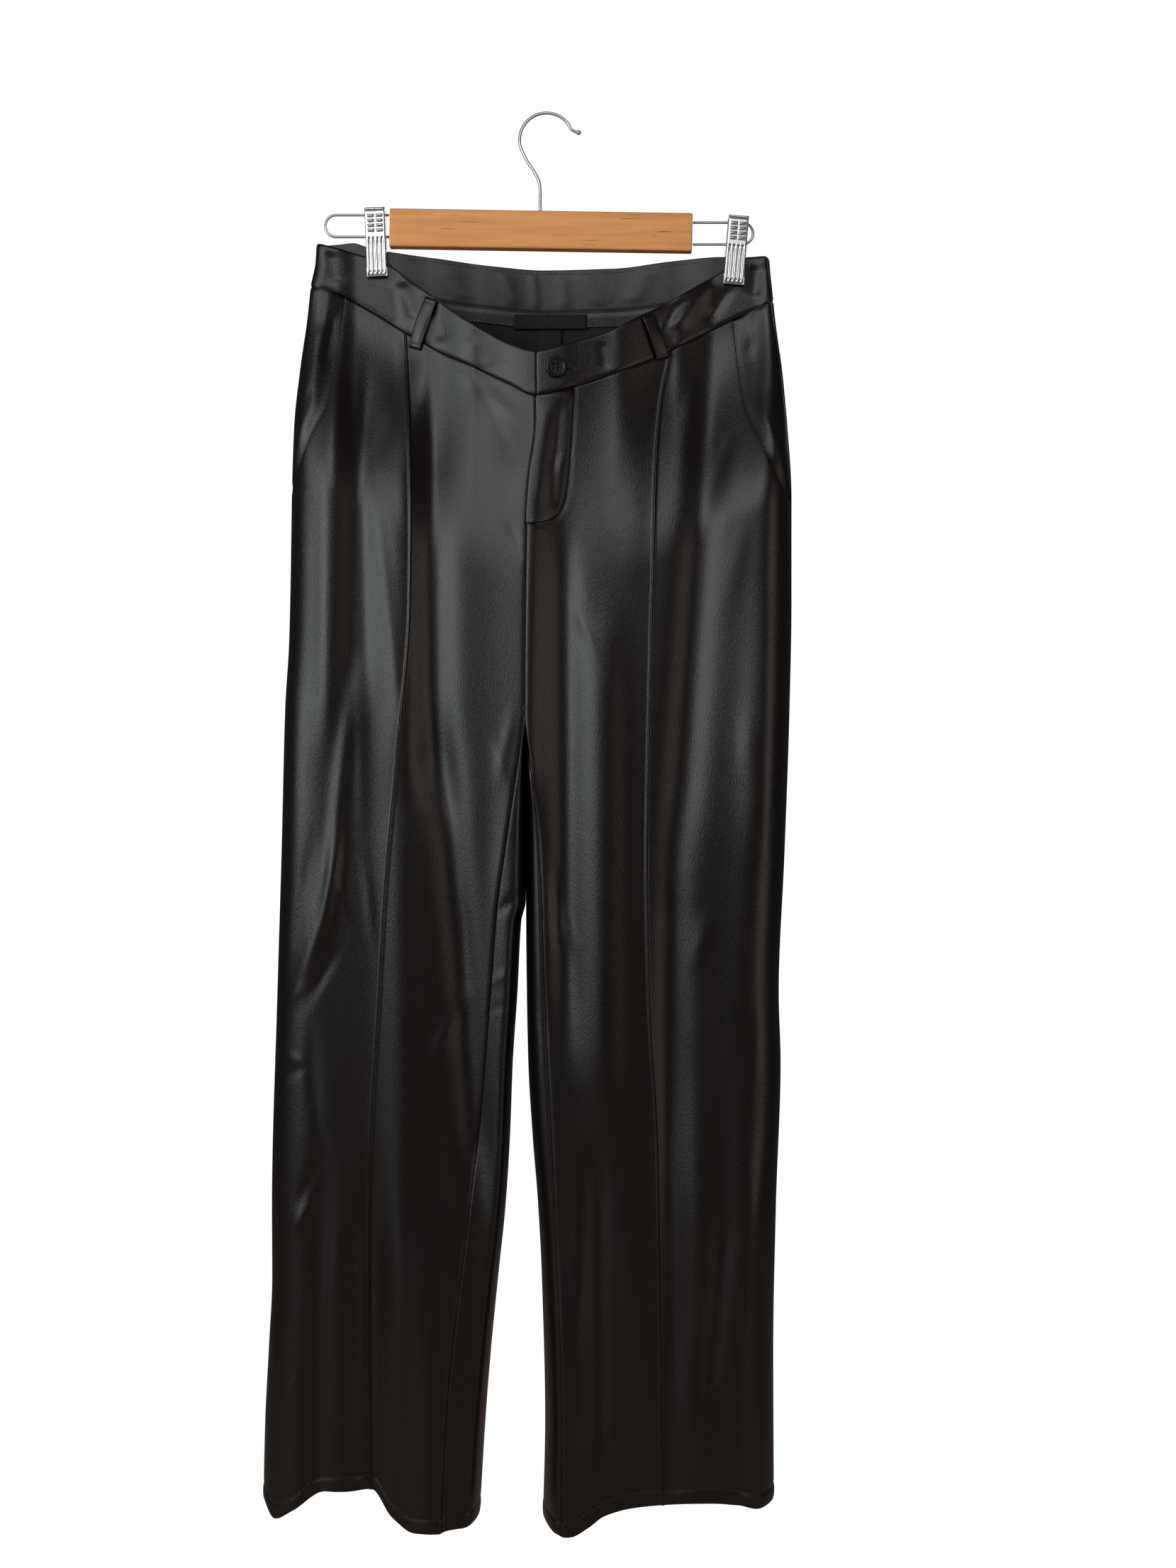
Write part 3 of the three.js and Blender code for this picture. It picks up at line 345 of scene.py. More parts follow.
RIGHT = Side(
    name="right",
    direction=-1,
    outseam=5.0,
    outer=(
        (-105, 177.5), (-121, 178), (-141, 180), (-170, 183), (-210, 188), (-256, 191.7),
        (-313, 194.6), (-400, 194.6), (-485, 193), (-600, 189), (-714, 184.3), (-771, 185.8),
        (-886, 182), (-1001, 179.9), (-1150, 180.5),
    ),
    inner=(
        (-493, -20.5), (-600, -20.55), (-640, -20.45), (-714, -19.8), (-771, -18.6), (-829, -15.2),
        (-886, -10.6), (-943, -7.7), (-1058, -5), (-1150, -7.2),
    ),
    inseam=(
        (-493, -20.2), (-530, -17.6), (-568, -11.5), (-627, -7.3), (-697, -5.1), (-767, -2.4),
        (-838, 1.2), (-912, 4), (-1049, 9.1), (-1150, 8.8),
    ),
    tuck=(
        (-185, 98.9), (-202, 95.3), (-239, 88), (-279, 84.6), (-344, 82.3), (-484, 78.4),
        (-610, 76.2), (-708, 77.7), (-836, 84), (-968, 86.3), (-1120, 89.6),
    ),
    pocket=((-170, 147.8), (-239, 155.3), (-265, 165), (-299, 180), (-326, 195)),
    front_hem=(
        (-7, -1134), (4, -1141), (16, -1142), (30, -1136), (43, -1127), (64, -1121), (90, -1118),
        (118, -1115.5), (148, -1117), (168, -1123), (180, -1121),
    ),
    back_hem=((-7, -1134), (40, -1116), (120, -1112), (180, -1121)),
    front_folds=(
        Fold((-15, -222), (-21, -600), 12, 6),
        Fold((11, -290), (13, -800), 12, -6),
        Fold((42, -370), (43, -860), 16, 5.5),
        Fold((133, -185), (98, -640), 15, -7),
        Fold((97, -540), (98, -1080), 13, -6),
        Fold((181, -225), (176, -640), 22, 5.5),
        Fold((158, -800), (152, -1250), 22, 5),
        Fold((184, -380), (184, -1010), 34, 7.5),
        Fold((38, -820), (38, -1100), 9, -4),
        Fold((115, -760), (116, -1400), 18, 5),
        Fold((142, -870), (122, -1050), 9, -4),
        Fold((5, -900), (10, -1400), 18, 7),
        Fold((16, -392), (42, -452), 5.2, 1.12, fade=0.5),
        Fold((3, -600), (7, -690), 4.6, -1.61, fade=0.5),
        Fold((8, -640), (18, -684), 4.6, 0.99, fade=0.5),
        Fold((156, -470), (157, -560), 6.9, 0.99, fade=0.5),
        Fold((126, -640), (114, -700), 5.8, 1.12, fade=0.5),
        Fold((87, -620), (96, -1010), 5.8, -1.36, fade=0.5),
        Fold((22, -800), (22, -1110), 6.9, 1.36, fade=0.5),
        Fold((112, -196), (96, -290), 6.9, -0.99, fade=0.5),
        Fold((150, -250), (128, -330), 5.8, -0.99, bow=-3.0, fade=0.5),
        Fold((160, -300), (140, -420), 6.9, 0.87, fade=0.5),
        Fold((60, -860), (70, -1000), 8, 0.99, fade=0.5),
        Fold((160, -700), (150, -800), 6.9, -0.99, fade=0.5),
        Fold((166, -840), (158, -930), 5.8, 0.99, fade=0.5),
        Fold((-12, -700), (-2, -760), 4, -0.74, fade=0.5),
        Fold((70, -250), (64, -420), 10.3, 0.74, fade=0.5),
    ),
    back_folds=(
        Fold((140, -260), (150, -700), 14, 4),
        Fold((70, -200), (55, -560), 16, -4),
        Fold((20, -340), (0, -520), 11, -3),
        Fold((120, -600), (120, -1400), 15, -4),
        Fold((50, -650), (60, -1300), 16, 4),
        Fold((0, -470), (36, -570), 5.8, 1.12, bow=3.0, fade=0.5),
        Fold((4, -520), (44, -650), 5.8, -1.12, bow=3.0, fade=0.5),
        Fold((150, -200), (132, -340), 8, 1.12, fade=0.5),
        Fold((92, -230), (80, -400), 9.2, 1.12, fade=0.5),
        Fold((26, -300), (-4, -410), 5.8, 0.93, bow=-3.0, fade=0.5),
        Fold((160, -500), (164, -780), 9.2, 1.36, fade=0.5),
        Fold((86, -660), (92, -940), 9.2, 1.12, fade=0.5),
        Fold((146, -820), (150, -1090), 8, -1.24, fade=0.5),
    ),
    inner_turn=0.5,
    hip_folds=(
        Fold((166, -175), (158, -205), 4.6, 0.56, fade=0.5),
        Fold((170, -200), (176, -285), 4.6, 0.56, bow=-2.0, fade=0.5),
        Fold((163, -205), (168, -262), 4, -0.56, fade=0.5),
    ),
)


class RingField:
    """Closed sections of one side at many heights, kept as even runs of points.

    A section runs from the outermost line along the front, round the inner side and back along
    the rear. Its corners are quarter ellipses. Its depth eases from the pinched waist to the leg,
    and the folds are added along it.

    Attributes:
        LEVELS: Number of sections.
        STEPS: Points kept on each.
        CORNER: Points laid out on each corner.
        FLAT: Points laid out between two corners.
        TOP: Height of the first section.
        LOW: Height of the last section.
    """

    LEVELS = 640
    STEPS = 900
    CORNER = 14
    FLAT = 150
    TOP = -100.0
    LOW = -1160.0

    def __init__(self, side: Side) -> None:
        """Work out the sections.

        Args:
            side: The half of the garment.
        """
        self.side = side
        self.heights = np.linspace(self.TOP, self.LOW, self.LEVELS)
        points, marks = self._polylines()
        steps = np.hypot(np.diff(points[..., 0], axis=1), np.diff(points[..., 1], axis=1))
        along = np.concatenate([np.zeros((self.LEVELS, 1)), np.cumsum(steps, axis=1)], axis=1)
        self.length = along[:, -1]
        self.turn_start = along[:, marks[0]]
        self.turn_end = along[:, marks[1]]
        share = np.linspace(0.0, 1.0, self.STEPS)
        self.points = np.empty((self.LEVELS, self.STEPS, 2))
        for level in range(self.LEVELS):
            spot = share * self.length[level]
            for axis in (0, 1):
                self.points[level, :, axis] = np.interp(spot, along[level], points[level, :, axis])

    def _polylines(self) -> tuple[Array, tuple[int, int]]:
        """Lay out the corners and flats of every section.

        Returns:
            The points, level by level, and the places where the inner turn starts and ends.
        """
        side = self.side
        z = self.heights[:, None]
        upper = z > CROTCH + 0.01
        inner = look_up(side.inner, 0, 1, z)
        front_inner = np.where(upper, look_up(CENTRE, 0, 1, z), inner)
        back_inner = np.where(upper, look_up(CENTRE, 0, 2, z) - side.direction * 0.05, inner)
        outer = look_up(side.outer, 0, 1, z)
        radii = [look_up(SECTIONS, 0, column, z) * side.direction for column in (3, 4, 5)]
        radii[1] = radii[1] * side.inner_turn
        opening = np.linspace(0.0, math.pi / 2, self.CORNER)[None, :]
        closing = opening[:, ::-1]
        flat = np.linspace(0.0, 1.0, self.FLAT + 2)[None, 1:-1]
        runs: list[tuple[Array, Face, Array]] = []

        def corner(start: Array, radius: Array, face: Face, turn: Array) -> None:
            """Add a quarter ellipse beside a vertical line."""
            runs.append((start + radius * (1 - np.cos(turn)), face, np.sin(turn) + 0 * start))

        def straight(first: Array, last: Array, face: Face) -> None:
            """Add the flat run between two corners."""
            x = first + (last - first) * flat
            runs.append((x, face, np.ones_like(x)))

        corner(outer, radii[0], Face.FRONT, opening)
        straight(outer + radii[0], front_inner - radii[1], Face.FRONT)
        corner(front_inner, -radii[1], Face.FRONT, closing)
        corner(back_inner, -radii[2], Face.BACK, opening)
        straight(back_inner - radii[2], outer + radii[0], Face.BACK)
        corner(outer, radii[0], Face.BACK, closing)
        placed = [self._shape(x, z, face, share) for x, face, share in runs]
        turn_start = self.CORNER + self.FLAT
        return np.concatenate(placed, axis=1), (turn_start, turn_start + 2 * self.CORNER - 1)

    def _shape(self, x: Array, z: Array, face: Face, share: Array) -> Array:
        """Give x a depth: mid line plus or minus the half depth and the folds.

        Args:
            x: Sideways places.
            z: Heights.
            face: Front or back.
            share: Share of the half depth that a corner has reached.

        Returns:
            The x and y of each place.
        """
        front = face is Face.FRONT
        seam = look_up(FRONT_SEAM if front else BACK_SEAM, 0, 1, x)
        blend = ease((seam - z) / SEAM_BLEND)
        waist = look_up(WAIST_DEPTH, 0, 1 if front else 2, x, Way.EASED)
        leg = look_up(SECTIONS, 0, 1 if front else 2, z)
        folds = self.side.front_folds if front else self.side.back_folds
        depth = (waist + (leg - waist) * blend + fold_height(folds, x, z)) * share
        y = MID_SHIFT * blend + (-depth if front else depth)
        return np.stack([x + 0 * y, y], axis=-1)

    def curve(self, values: Array, z: Array) -> Array:
        """Read a value kept for each section at any height."""
        return np.interp(-z, -self.heights, values)

    def place(self, s: Array, z: Array) -> Array:
        """Find the points at distances along the sections, blended between four neighbours.

        Args:
            s: Distances from the outermost line, which may pass the section's end.
            z: Heights.

        Returns:
            The x and y of each point.
        """
        level = np.clip((self.heights[0] - z) / (self.heights[0] - self.heights[1]), 0, self.LEVELS - 1.001)
        low = level.astype(int)
        up = (level - low)[..., None]
        share = (s / self.curve(self.length, z)) % 1.0 * (self.STEPS - 1)
        left = np.clip(share.astype(int), 0, self.STEPS - 2)
        over = (share - left)[..., None]
        table = self.points
        first = table[low, left] * (1 - over) + table[low, left + 1] * over
        second = table[low + 1, left] * (1 - over) + table[low + 1, left + 1] * over
        return first * (1 - up) + second * up

    def distance_at(self, table: Table, face: Face) -> Array:
        """Find, for every section, the distance at which it reaches a line given by z and x.

        Args:
            table: z and x of the line.
            face: The face that the line is on.

        Returns:
            One distance for each section.
        """
        x = look_up(table, 0, 1, self.heights)
        share = np.linspace(0.0, 1.0, self.STEPS)
        result = np.empty(self.LEVELS)
        for level in range(self.LEVELS):
            spot = share * self.length[level]
            keep = spot <= self.turn_start[level] + 30 if face is Face.FRONT else spot >= self.turn_end[level]
            run = self.points[level, keep, 0] * self.side.direction
            rising = np.maximum.accumulate(run if face is Face.FRONT else run[::-1])
            stops = spot[keep] if face is Face.FRONT else spot[keep][::-1]
            result[level] = np.interp(x[level] * self.side.direction, rising, stops)
        return result


class Garment:
    """Both sides' sections, with the places of every seam as distances along them."""

    def __init__(self) -> None:
        """Work out the sections and the seams of both sides."""
        self.fields = {side.name: RingField(side) for side in (LEFT, RIGHT)}
        self.front_start: dict[str, Array] = {}
        self.front_end: dict[str, Array] = {}
        self.back_start: dict[str, Array] = {}
        self.tuck: dict[str, Array] = {}
        self.mouth: dict[str, Array] = {}
        for name, rings in self.fields.items():
            side = rings.side
            z = rings.heights
            self.mouth[name] = np.maximum(rings.distance_at(side.pocket, Face.FRONT), side.outseam)
            low = min(row[0] for row in side.pocket)
            self.front_start[name] = np.where(z > low, self.mouth[name], side.outseam)
            inseam = rings.distance_at(side.inseam, Face.FRONT)
            self.front_end[name] = np.where(z > CROTCH, rings.turn_start, inseam)
            turn = ease((CROTCH_TOP - z) / (CROTCH_TOP - CROTCH))
            strip = rings.turn_end + (rings.turn_start - rings.turn_end) * turn
            self.back_start[name] = np.where(z > CROTCH, strip, inseam)
            self.tuck[name] = rings.distance_at(side.tuck, Face.FRONT)

    def surface(
        self,
        name: str,
        distance: Callable[[Array], Array],
        top: Callable[[Array], Array],
        bottom: Callable[[Array], Array],
        share: Array,
    ) -> tuple[Array, Array]:
        """Lay a grid of points on one side.

        A column follows a distance along the sections that may change with height, and a row is a
        share of the way from the top line to the bottom line. Both lines depend on x, so the
        heights are found by going round a few times.

        Args:
            name: The side.
            distance: Gives the distances of the grid at given heights.
            top: Height of the top line at given x.
            bottom: Height of the bottom line at given x.
            share: Each point's share of the way down.

        Returns:
            The points and the outward directions.
        """
        rings = self.fields[name]
        z = np.full(share.shape, -300.0)
        for _ in range(9):
            x = rings.place(distance(z), z)[..., 0]
            z = top(x) + (bottom(x) - top(x)) * share
        s = distance(z)
        flat = rings.place(s, z)
        points = np.dstack([flat, z])
        return points, self.outward(name, s, z)

    def outward(self, name: str, s: Array, z: Array) -> Array:
        """Find outward directions from the run of the sections.

        Args:
            name: The side.
            s: Distances along the sections.
            z: Heights.

        Returns:
            Level directions of length one.
        """
        rings = self.fields[name]
        reach = 1.6
        low, high = s - reach, s + reach
        upper = z > CROTCH + 0.01
        start, end = rings.curve(rings.turn_start, z), rings.curve(rings.turn_end, z)
        high = np.where(upper & (s <= start + 0.2), np.minimum(high, start), high)
        low = np.where(upper & (s >= end - 0.2), np.maximum(low, end), low)
        step = rings.place(high, z) - rings.place(low, z)
        normal = np.stack([step[..., 1], -step[..., 0], 0 * step[..., 0]], axis=-1) * rings.side.direction
        return normal / np.maximum(np.linalg.norm(normal, axis=-1, keepdims=True), 1e-9)


def shell_mesh(name: str, points: Array, thickness: float, outward: Array | None = None) -> bpy.types.Object:
    """Make a cloth shell from a grid of points.

    Args:
        name: Name of the piece.
        points: Grid of points in millimetres.
        thickness: Wall added inwards by a Solidify modifier, in millimetres.
        outward: Direction that the faces should look in, one for each point.

    Returns:
        The object.
    """
    rows, columns = points.shape[:2]
    index = np.arange(rows * columns).reshape(rows, columns)
    quads = np.stack([index[:-1, :-1], index[1:, :-1], index[1:, 1:], index[:-1, 1:]], axis=-1).reshape(-1, 4)
    if outward is not None:
        a, b, c = (points.reshape(-1, 3)[quads[:, k]] for k in (0, 1, 3))
        facing = np.einsum("ij,ij->i", np.cross(b - a, c - a), outward.reshape(-1, 3)[quads[:, 0]])
        if facing.sum() < 0:
            quads = quads[:, ::-1]
    mesh = bpy.data.meshes.new(name)
    mesh.from_pydata((points.reshape(-1, 3) * MM).tolist(), [], quads.tolist())
    mesh.polygons.foreach_set("use_smooth", np.ones(len(mesh.polygons), dtype=bool))
    grid = mesh.uv_layers.new(name="cloth")
    u, v = np.meshgrid(np.linspace(0, 1, columns), np.linspace(0, 1, rows))
    loops = np.empty(len(mesh.loops), dtype=np.int64)
    mesh.loops.foreach_get("vertex_index", loops)
    grid.data.foreach_set("uv", np.stack([u.ravel()[loops], v.ravel()[loops]], axis=-1).ravel())
    piece = bpy.data.objects.new(name, mesh)
    bpy.context.scene.collection.objects.link(piece)
    if thickness:
        wall = piece.modifiers.new("wall", "SOLIDIFY")
        wall.thickness = thickness * MM
        wall.offset = -1.0
        wall.use_rim = True
        wall.use_even_offset = False
    return piece


@dataclass
class ClothPiece:
    """A cut piece of the garment with its flat size.

    Attributes:
        name: Name of the piece; not used.
        node: Solid that it stands for.
        slot: Name of a material slot; not used.
        flat: Width and length of its cut, in metres; not used.
        area: Flat area of the cut in square metres; not used.
        rests_on: What it hangs from; not used.
    """

    name: str
    node: str
    slot: str
    flat: tuple[float, float]
    area: float
    rests_on: tuple[str, ...] = FRONT_CLIPS

    def declare(self, piece: bpy.types.Object) -> None:
        """Put the piece on the body, in place of its solid.

        Args:
            piece: The finished object.
        """
        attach(piece, "root")
        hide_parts(self.node)
        LOG.info("%s: %d vertices", piece.name, len(piece.data.vertices))


def spread(start: float, end: float, count: int) -> Array:
    """Return evenly spaced shares."""
    return np.linspace(start, end, count)


@dataclass
class Panels:
    """Front and back panels and the hip pieces of both legs.

    Attributes:
        garment: Sections and seams.
        leather: Outer finish.
        lining: Finish of the inner side.
        rows: Rows of points from waist to hem.
        edge: Offsets from a side edge at which columns stand close together.
        ridge: Offsets from the tuck at which columns stand close together.
        turned: The edge offsets of a back panel, which runs on under the front.
        outer_columns: Columns from the outer edge to the tuck.
        inner_columns: Columns from the tuck to the centre.
        back_columns: Columns between the edges of a back panel.
        tuck_rise: Height of the pin tuck.
        tuck_width: Half width of the pin tuck.
        seam_dip: Depth of the trough beside a seam.
        seam_width: Half width of that trough.
        under: Drop of an edge that runs under its neighbour.
        allowance: How far a panel runs up under the band.
        lap: How far the panels lap at the centre.
        lap_ease: Height over which a lap begins above the crotch.
        fly_groove: Depth and half width of the groove round the fly.
        mouth_lap: How far a hip piece runs on behind the pocket mouth.
        mouth_depth: How deep it lies there.
        hip_grid: Columns and rows of a hip piece.
        hip_cloth: Thickness of a hip piece.
    """

    garment: Garment
    leather: bpy.types.Material
    lining: bpy.types.Material
    rows: int = 352
    edge: tuple[float, ...] = (0.0, 0.5, 1.1, 2.0, 3.4)
    ridge: tuple[float, ...] = (-3.2, -2.0, -1.3, -0.8, -0.4, 0.0, 0.4, 0.8, 1.3, 2.0, 3.2)
    turned: tuple[float, ...] = (-4.0, -2.2, -0.9, 0.0, 0.5, 1.1, 2.0, 3.4)
    outer_columns: int = 40
    inner_columns: int = 52
    back_columns: int = 76
    tuck_rise: float = 1.7
    tuck_width: float = 0.9
    seam_dip: float = 0.9
    seam_width: float = 1.5
    under: float = 1.75
    allowance: float = 2.6
    lap: float = 1.2
    lap_ease: float = 8.0
    fly_groove: tuple[float, float] = (0.9, 1.1)
    mouth_lap: float = 15.0
    mouth_depth: float = 3.0
    hip_grid: tuple[int, int] = (40, 90)
    hip_cloth: float = 1.1

    def build(self) -> None:
        """Make every panel."""
        for side in (LEFT, RIGHT):
            self._front(side)
            self._back(side)
            self._pocket(side)

    def _dress(self, piece: bpy.types.Object) -> None:
        """Give the outside leather and the inside and rim the lining."""
        piece.data.materials.append(self.leather)
        piece.data.materials.append(self.lining)
        piece.modifiers["wall"].material_offset = 1

    def _front(self, side: Side) -> None:
        """Make a front panel.

        Columns run between the pocket mouth or outseam and the centre or inseam, crowded at both
        edges and at the tuck. The tuck is a ridge of rise * exp(-(offset / width)^2). The edges dip
        by dip * exp(-(distance / width)^2), and a hem groove lies a fixed height above the edge.

        Args:
            side: Which side.
        """
        rings = self.garment.fields[side.name]
        start, end = self.garment.front_start[side.name], self.garment.front_end[side.name]
        tuck = self.garment.tuck[side.name]
        edge = np.array(self.edge) + SEAM_TRIM
        ridge = np.array(self.ridge)
        outer = spread(0, 1, self.outer_columns)[1:-1]
        inner = spread(0, 1, self.inner_columns)[1:-1]

        def distance(z: Array) -> Array:
            """Distances of all columns at the heights of the grid.

            Args:
                z: Heights of the grid.

            Returns:
                A distance for each point of the grid.
            """
            first, last, middle = (rings.curve(values, z) for values in (start, end, tuck))
            columns = []
            for offset in edge:
                columns.append(lambda a, b, c, k=offset: a + k)
            for t in outer:
                columns.append(lambda a, b, c, t=t: (a + edge[-1]) * (1 - t) + (c + ridge[0]) * t)
            for offset in ridge:
                columns.append(lambda a, b, c, k=offset: c + k)
            for t in inner:
                columns.append(lambda a, b, c, t=t: (c + ridge[-1]) * (1 - t) + (b - edge[-1]) * t)
            for offset in edge[::-1]:
                columns.append(lambda a, b, c, k=offset: b - k)
            return np.stack([
                column(first[:, j], last[:, j], middle[:, j]) for j, column in enumerate(columns)
            ], axis=1)

        count = 2 * len(edge) + len(outer) + len(ridge) + len(inner)
        share = np.repeat(self._row_shares()[:, None], count, axis=1)
        points, normals = self.garment.surface(
            side.name,
            distance,
            lambda x: look_up(FRONT_SEAM, 0, 1, x) + self.allowance,
            lambda x: look_up(side.front_hem, 0, 1, x),
            share,
        )
        z = points[..., 2]
        s = distance(z)
        below = look_up(FRONT_SEAM, 0, 1, points[..., 0]) - z
        pinch = np.exp(-(((s - rings.curve(tuck, z)) / self.tuck_width) ** 2))
        lift = ease((below - 1.0) / 4.0) * self.tuck_rise * pinch
        lift -= self._dip(s - rings.curve(start, z)) * np.where(z > -330, 0.2, 1.0)
        lift -= self._dip(rings.curve(end, z) - s)
        lift += self._hem(z - look_up(side.front_hem, 0, 1, points[..., 0]))
        lift -= self._tucked(below)
        if side is RIGHT:
            depth, width = self.fly_groove
            lift -= depth * np.exp(-((self._fly_distance(points) / width) ** 2))
        points = points + normals * lift[..., None]
        if side is RIGHT:
            lap = ease((z[:, -1] - CROTCH) / self.lap_ease)
            points[:, -1, 0] -= self.lap * lap
            points[:, -1, 1] += self.under * lap
        piece = shell_mesh(f"leg_front_{side.name}", points, CLOTH, normals)
        self._dress(piece)
        ClothPiece(piece.name, f"front_{side.name}", "leather", (0.23, 0.96), 0.196).declare(piece)

    def _fly_distance(self, points: Array) -> Array:
        """Distance of points on the front from the curved edge of the fly.

        Args:
            points: Grid of points.

        Returns:
            The distance to the nearest point of the edge, in the plane of x and z.
        """
        z = np.linspace(-226.0, -339.0, 240)
        edge = np.stack([look_up(FLY_EDGE, 0, 1, z), z], axis=1)
        tail = np.stack([np.linspace(-1, -14, 60), look_up(FLY_FOOT, 0, 1, np.linspace(-1, -14, 60))], axis=1)
        edge = np.concatenate([edge[z > -336], tail])
        flat = points[..., (0, 2)].reshape(-1, 2)
        near = (flat[:, 1] > -348) & (flat[:, 0] < 30)
        result = np.full(len(flat), 99.0)
        away = np.linalg.norm(flat[near][:, None, :] - edge[None, :, :], axis=2)
        result[near] = away.min(axis=1)
        return result.reshape(points.shape[:2])

    def _row_shares(self) -> Array:
        """Shares down a panel, closer together at the waist and at the hem."""
        middle = spread(0.0085, 0.972, self.rows - 36)
        top = [0.0, 0.0012, 0.0022, 0.0032, 0.0045, 0.0062]
        return np.concatenate([top, middle, spread(0.972, 1.0, 31)[1:]])

    def _dip(self, distance: Array) -> Array:
        """Depth of the trough beside a seam: dip * exp(-(distance / width)^2)."""
        return self.seam_dip * np.exp(-((distance / self.seam_width) ** 2))

    def _tucked(self, distance: Array) -> Array:
        """Depth of an edge that runs on under its neighbour: a smooth step down to the under side."""
        return self.under * ease((1.3 - distance) / 2.0)

    def _hem(self, above: Array) -> Array:
        """Relief of the hem: a stitched groove over a slightly full doubled edge.

        Args:
            above: Height over the hem's edge.

        Returns:
            The rise of the cloth.
        """
        groove = -0.3 * np.exp(-(((above - HEM_LINE) / 1.3) ** 2))
        full = 0.35 * np.exp(-(((above - 5.5) / 4.0) ** 4))
        return groove + full

    def _back(self, side: Side) -> None:
        """Make a back panel, whose hem blends from the front's to its own.

        Args:
            side: Which side.
        """
        rings = self.garment.fields[side.name]
        start = self.garment.back_start[side.name]
        end = rings.length + side.outseam
        edge = np.array(self.turned)
        middle = spread(0, 1, self.back_columns)[1:-1]

        def distance(z: Array) -> Array:
            """Distances of all columns at the heights of the grid.

            Args:
                z: Heights of the grid.

            Returns:
                A distance for each point of the grid.
            """
            first, last = rings.curve(start, z), rings.curve(end, z)
            turned = 0.2 + 0.8 * ease((-215.0 - z) / 20.0)
            columns = [first[:, j] + (k * turned[:, j] if k < 0 else k) for j, k in enumerate(edge)]
            base = len(edge)
            for j, t in enumerate(middle):
                low, high = first[:, base + j] + edge[-1], last[:, base + j] - edge[-1]
                columns.append(low * (1 - t) + high * t)
            base += len(middle)
            columns += [last[:, base + j] - k for j, k in enumerate(edge[::-1])]
            return np.stack(columns, axis=1)

        count = 2 * len(edge) + len(middle)
        across = np.repeat(spread(0, 1, count)[None, :], self.rows, axis=0)
        share = np.repeat(self._row_shares()[:, None], count, axis=1)

        def hem(x: Array) -> Array:
            """Height of the hem: the front's at the inseam, the back's own further round."""
            turn = ease(across / 0.35)
            front = look_up(side.front_hem, 0, 1, x)
            return front + (look_up(side.back_hem, 0, 1, x) - front) * turn

        points, normals = self.garment.surface(
            side.name, distance, lambda x: look_up(BACK_SEAM, 0, 1, x) + self.allowance, hem, share
        )
        z = points[..., 2]
        s = distance(z)
        joined = ease((CROTCH + self.lap_ease - z) / self.lap_ease)
        first, last = s - rings.curve(start, z), rings.curve(end, z) - s
        lift = -self._tucked(first) * joined - self._dip(np.maximum(first, 0)) * (1 - joined)
        lift -= self._tucked(last)
        lift += self._hem(z - hem(points[..., 0]))
        lift -= self._tucked(look_up(BACK_SEAM, 0, 1, points[..., 0]) - z)
        points = points + normals * lift[..., None]
        if side is LEFT:
            lap = ease((z[:, 0] - CROTCH) / self.lap_ease)
            points[:, 0, 0] += (self.lap + 0.4) * lap
            points[:, 0, 1] -= (0.3 + 0.7 * ease((-225.0 - z[:, 0]) / 15.0)) * lap
        piece = shell_mesh(f"leg_back_{side.name}", points, CLOTH, normals)
        self._dress(piece)
        ClothPiece(piece.name, f"back_{side.name}", "leather", (0.30, 1.0), 0.245, rests_on=BACK_CLIPS).declare(piece)

    def _pocket(self, side: Side) -> None:
        """Make the hip piece that shows beside the slanted pocket mouth.

        Args:
            side: Which side.
        """
        rings = self.garment.fields[side.name]
        low = min(row[0] for row in side.pocket)
        shifted = tuple((z, x + side.direction * self.mouth_lap) for z, x in side.pocket)
        end = rings.distance_at(shifted, Face.FRONT)
        count, rows = self.hip_grid
        t = spread(0, 1, count)[None, :]

        def distance(z: Array) -> Array:
            """Distances from the outseam to behind the front panel."""
            return (side.outseam + SEAM_TRIM) * (1 - t) + (rings.curve(end, z) - SEAM_TRIM) * t

        share = np.repeat(spread(0, 1, rows)[:, None], count, axis=1)
        points, normals = self.garment.surface(
            side.name,
            distance,
            lambda x: look_up(FRONT_SEAM, 0, 1, x) + self.allowance - 0.2,
            lambda x: low - self.mouth_lap + 0 * x,
            share,
        )
        z = points[..., 2]
        to_mouth = rings.curve(self.garment.mouth[side.name], z) - distance(z)
        depth = -self.mouth_depth * ease((self.mouth_lap - to_mouth) / 13.0) - self._dip(distance(z) - side.outseam)
        depth = np.minimum(depth, -0.05) + fold_height(side.hip_folds, points[..., 0], z)
        depth -= 0.6 * self._tucked(look_up(FRONT_SEAM, 0, 1, points[..., 0]) - z)
        points = points + normals * depth[..., None]
        piece = shell_mesh(f"hip_{side.name}", points, self.hip_cloth, normals)
        self._dress(piece)
        flat = (0.06, 0.20)
        ClothPiece(piece.name, f"pocket_side_{side.name}", "leather", flat, 0.009).declare(piece)


def band_lift(x: Array, z: Array) -> Array:
    """Height by which the right end of the band stands over the left: a smooth step near the centre.

    Args:
        x: Sideways places.
        z: Heights.

    Returns:
        The height, 1.2 mm near the centre line and nothing further out, rolled over at the end.
    """
    away = x - look_up(CENTRE, 0, 1, z)
    end = np.exp(-((away / 1.3) ** 2))
    return 1.2 * ease((34.0 - away) / 14.0) * (1 - 0.75 * end)


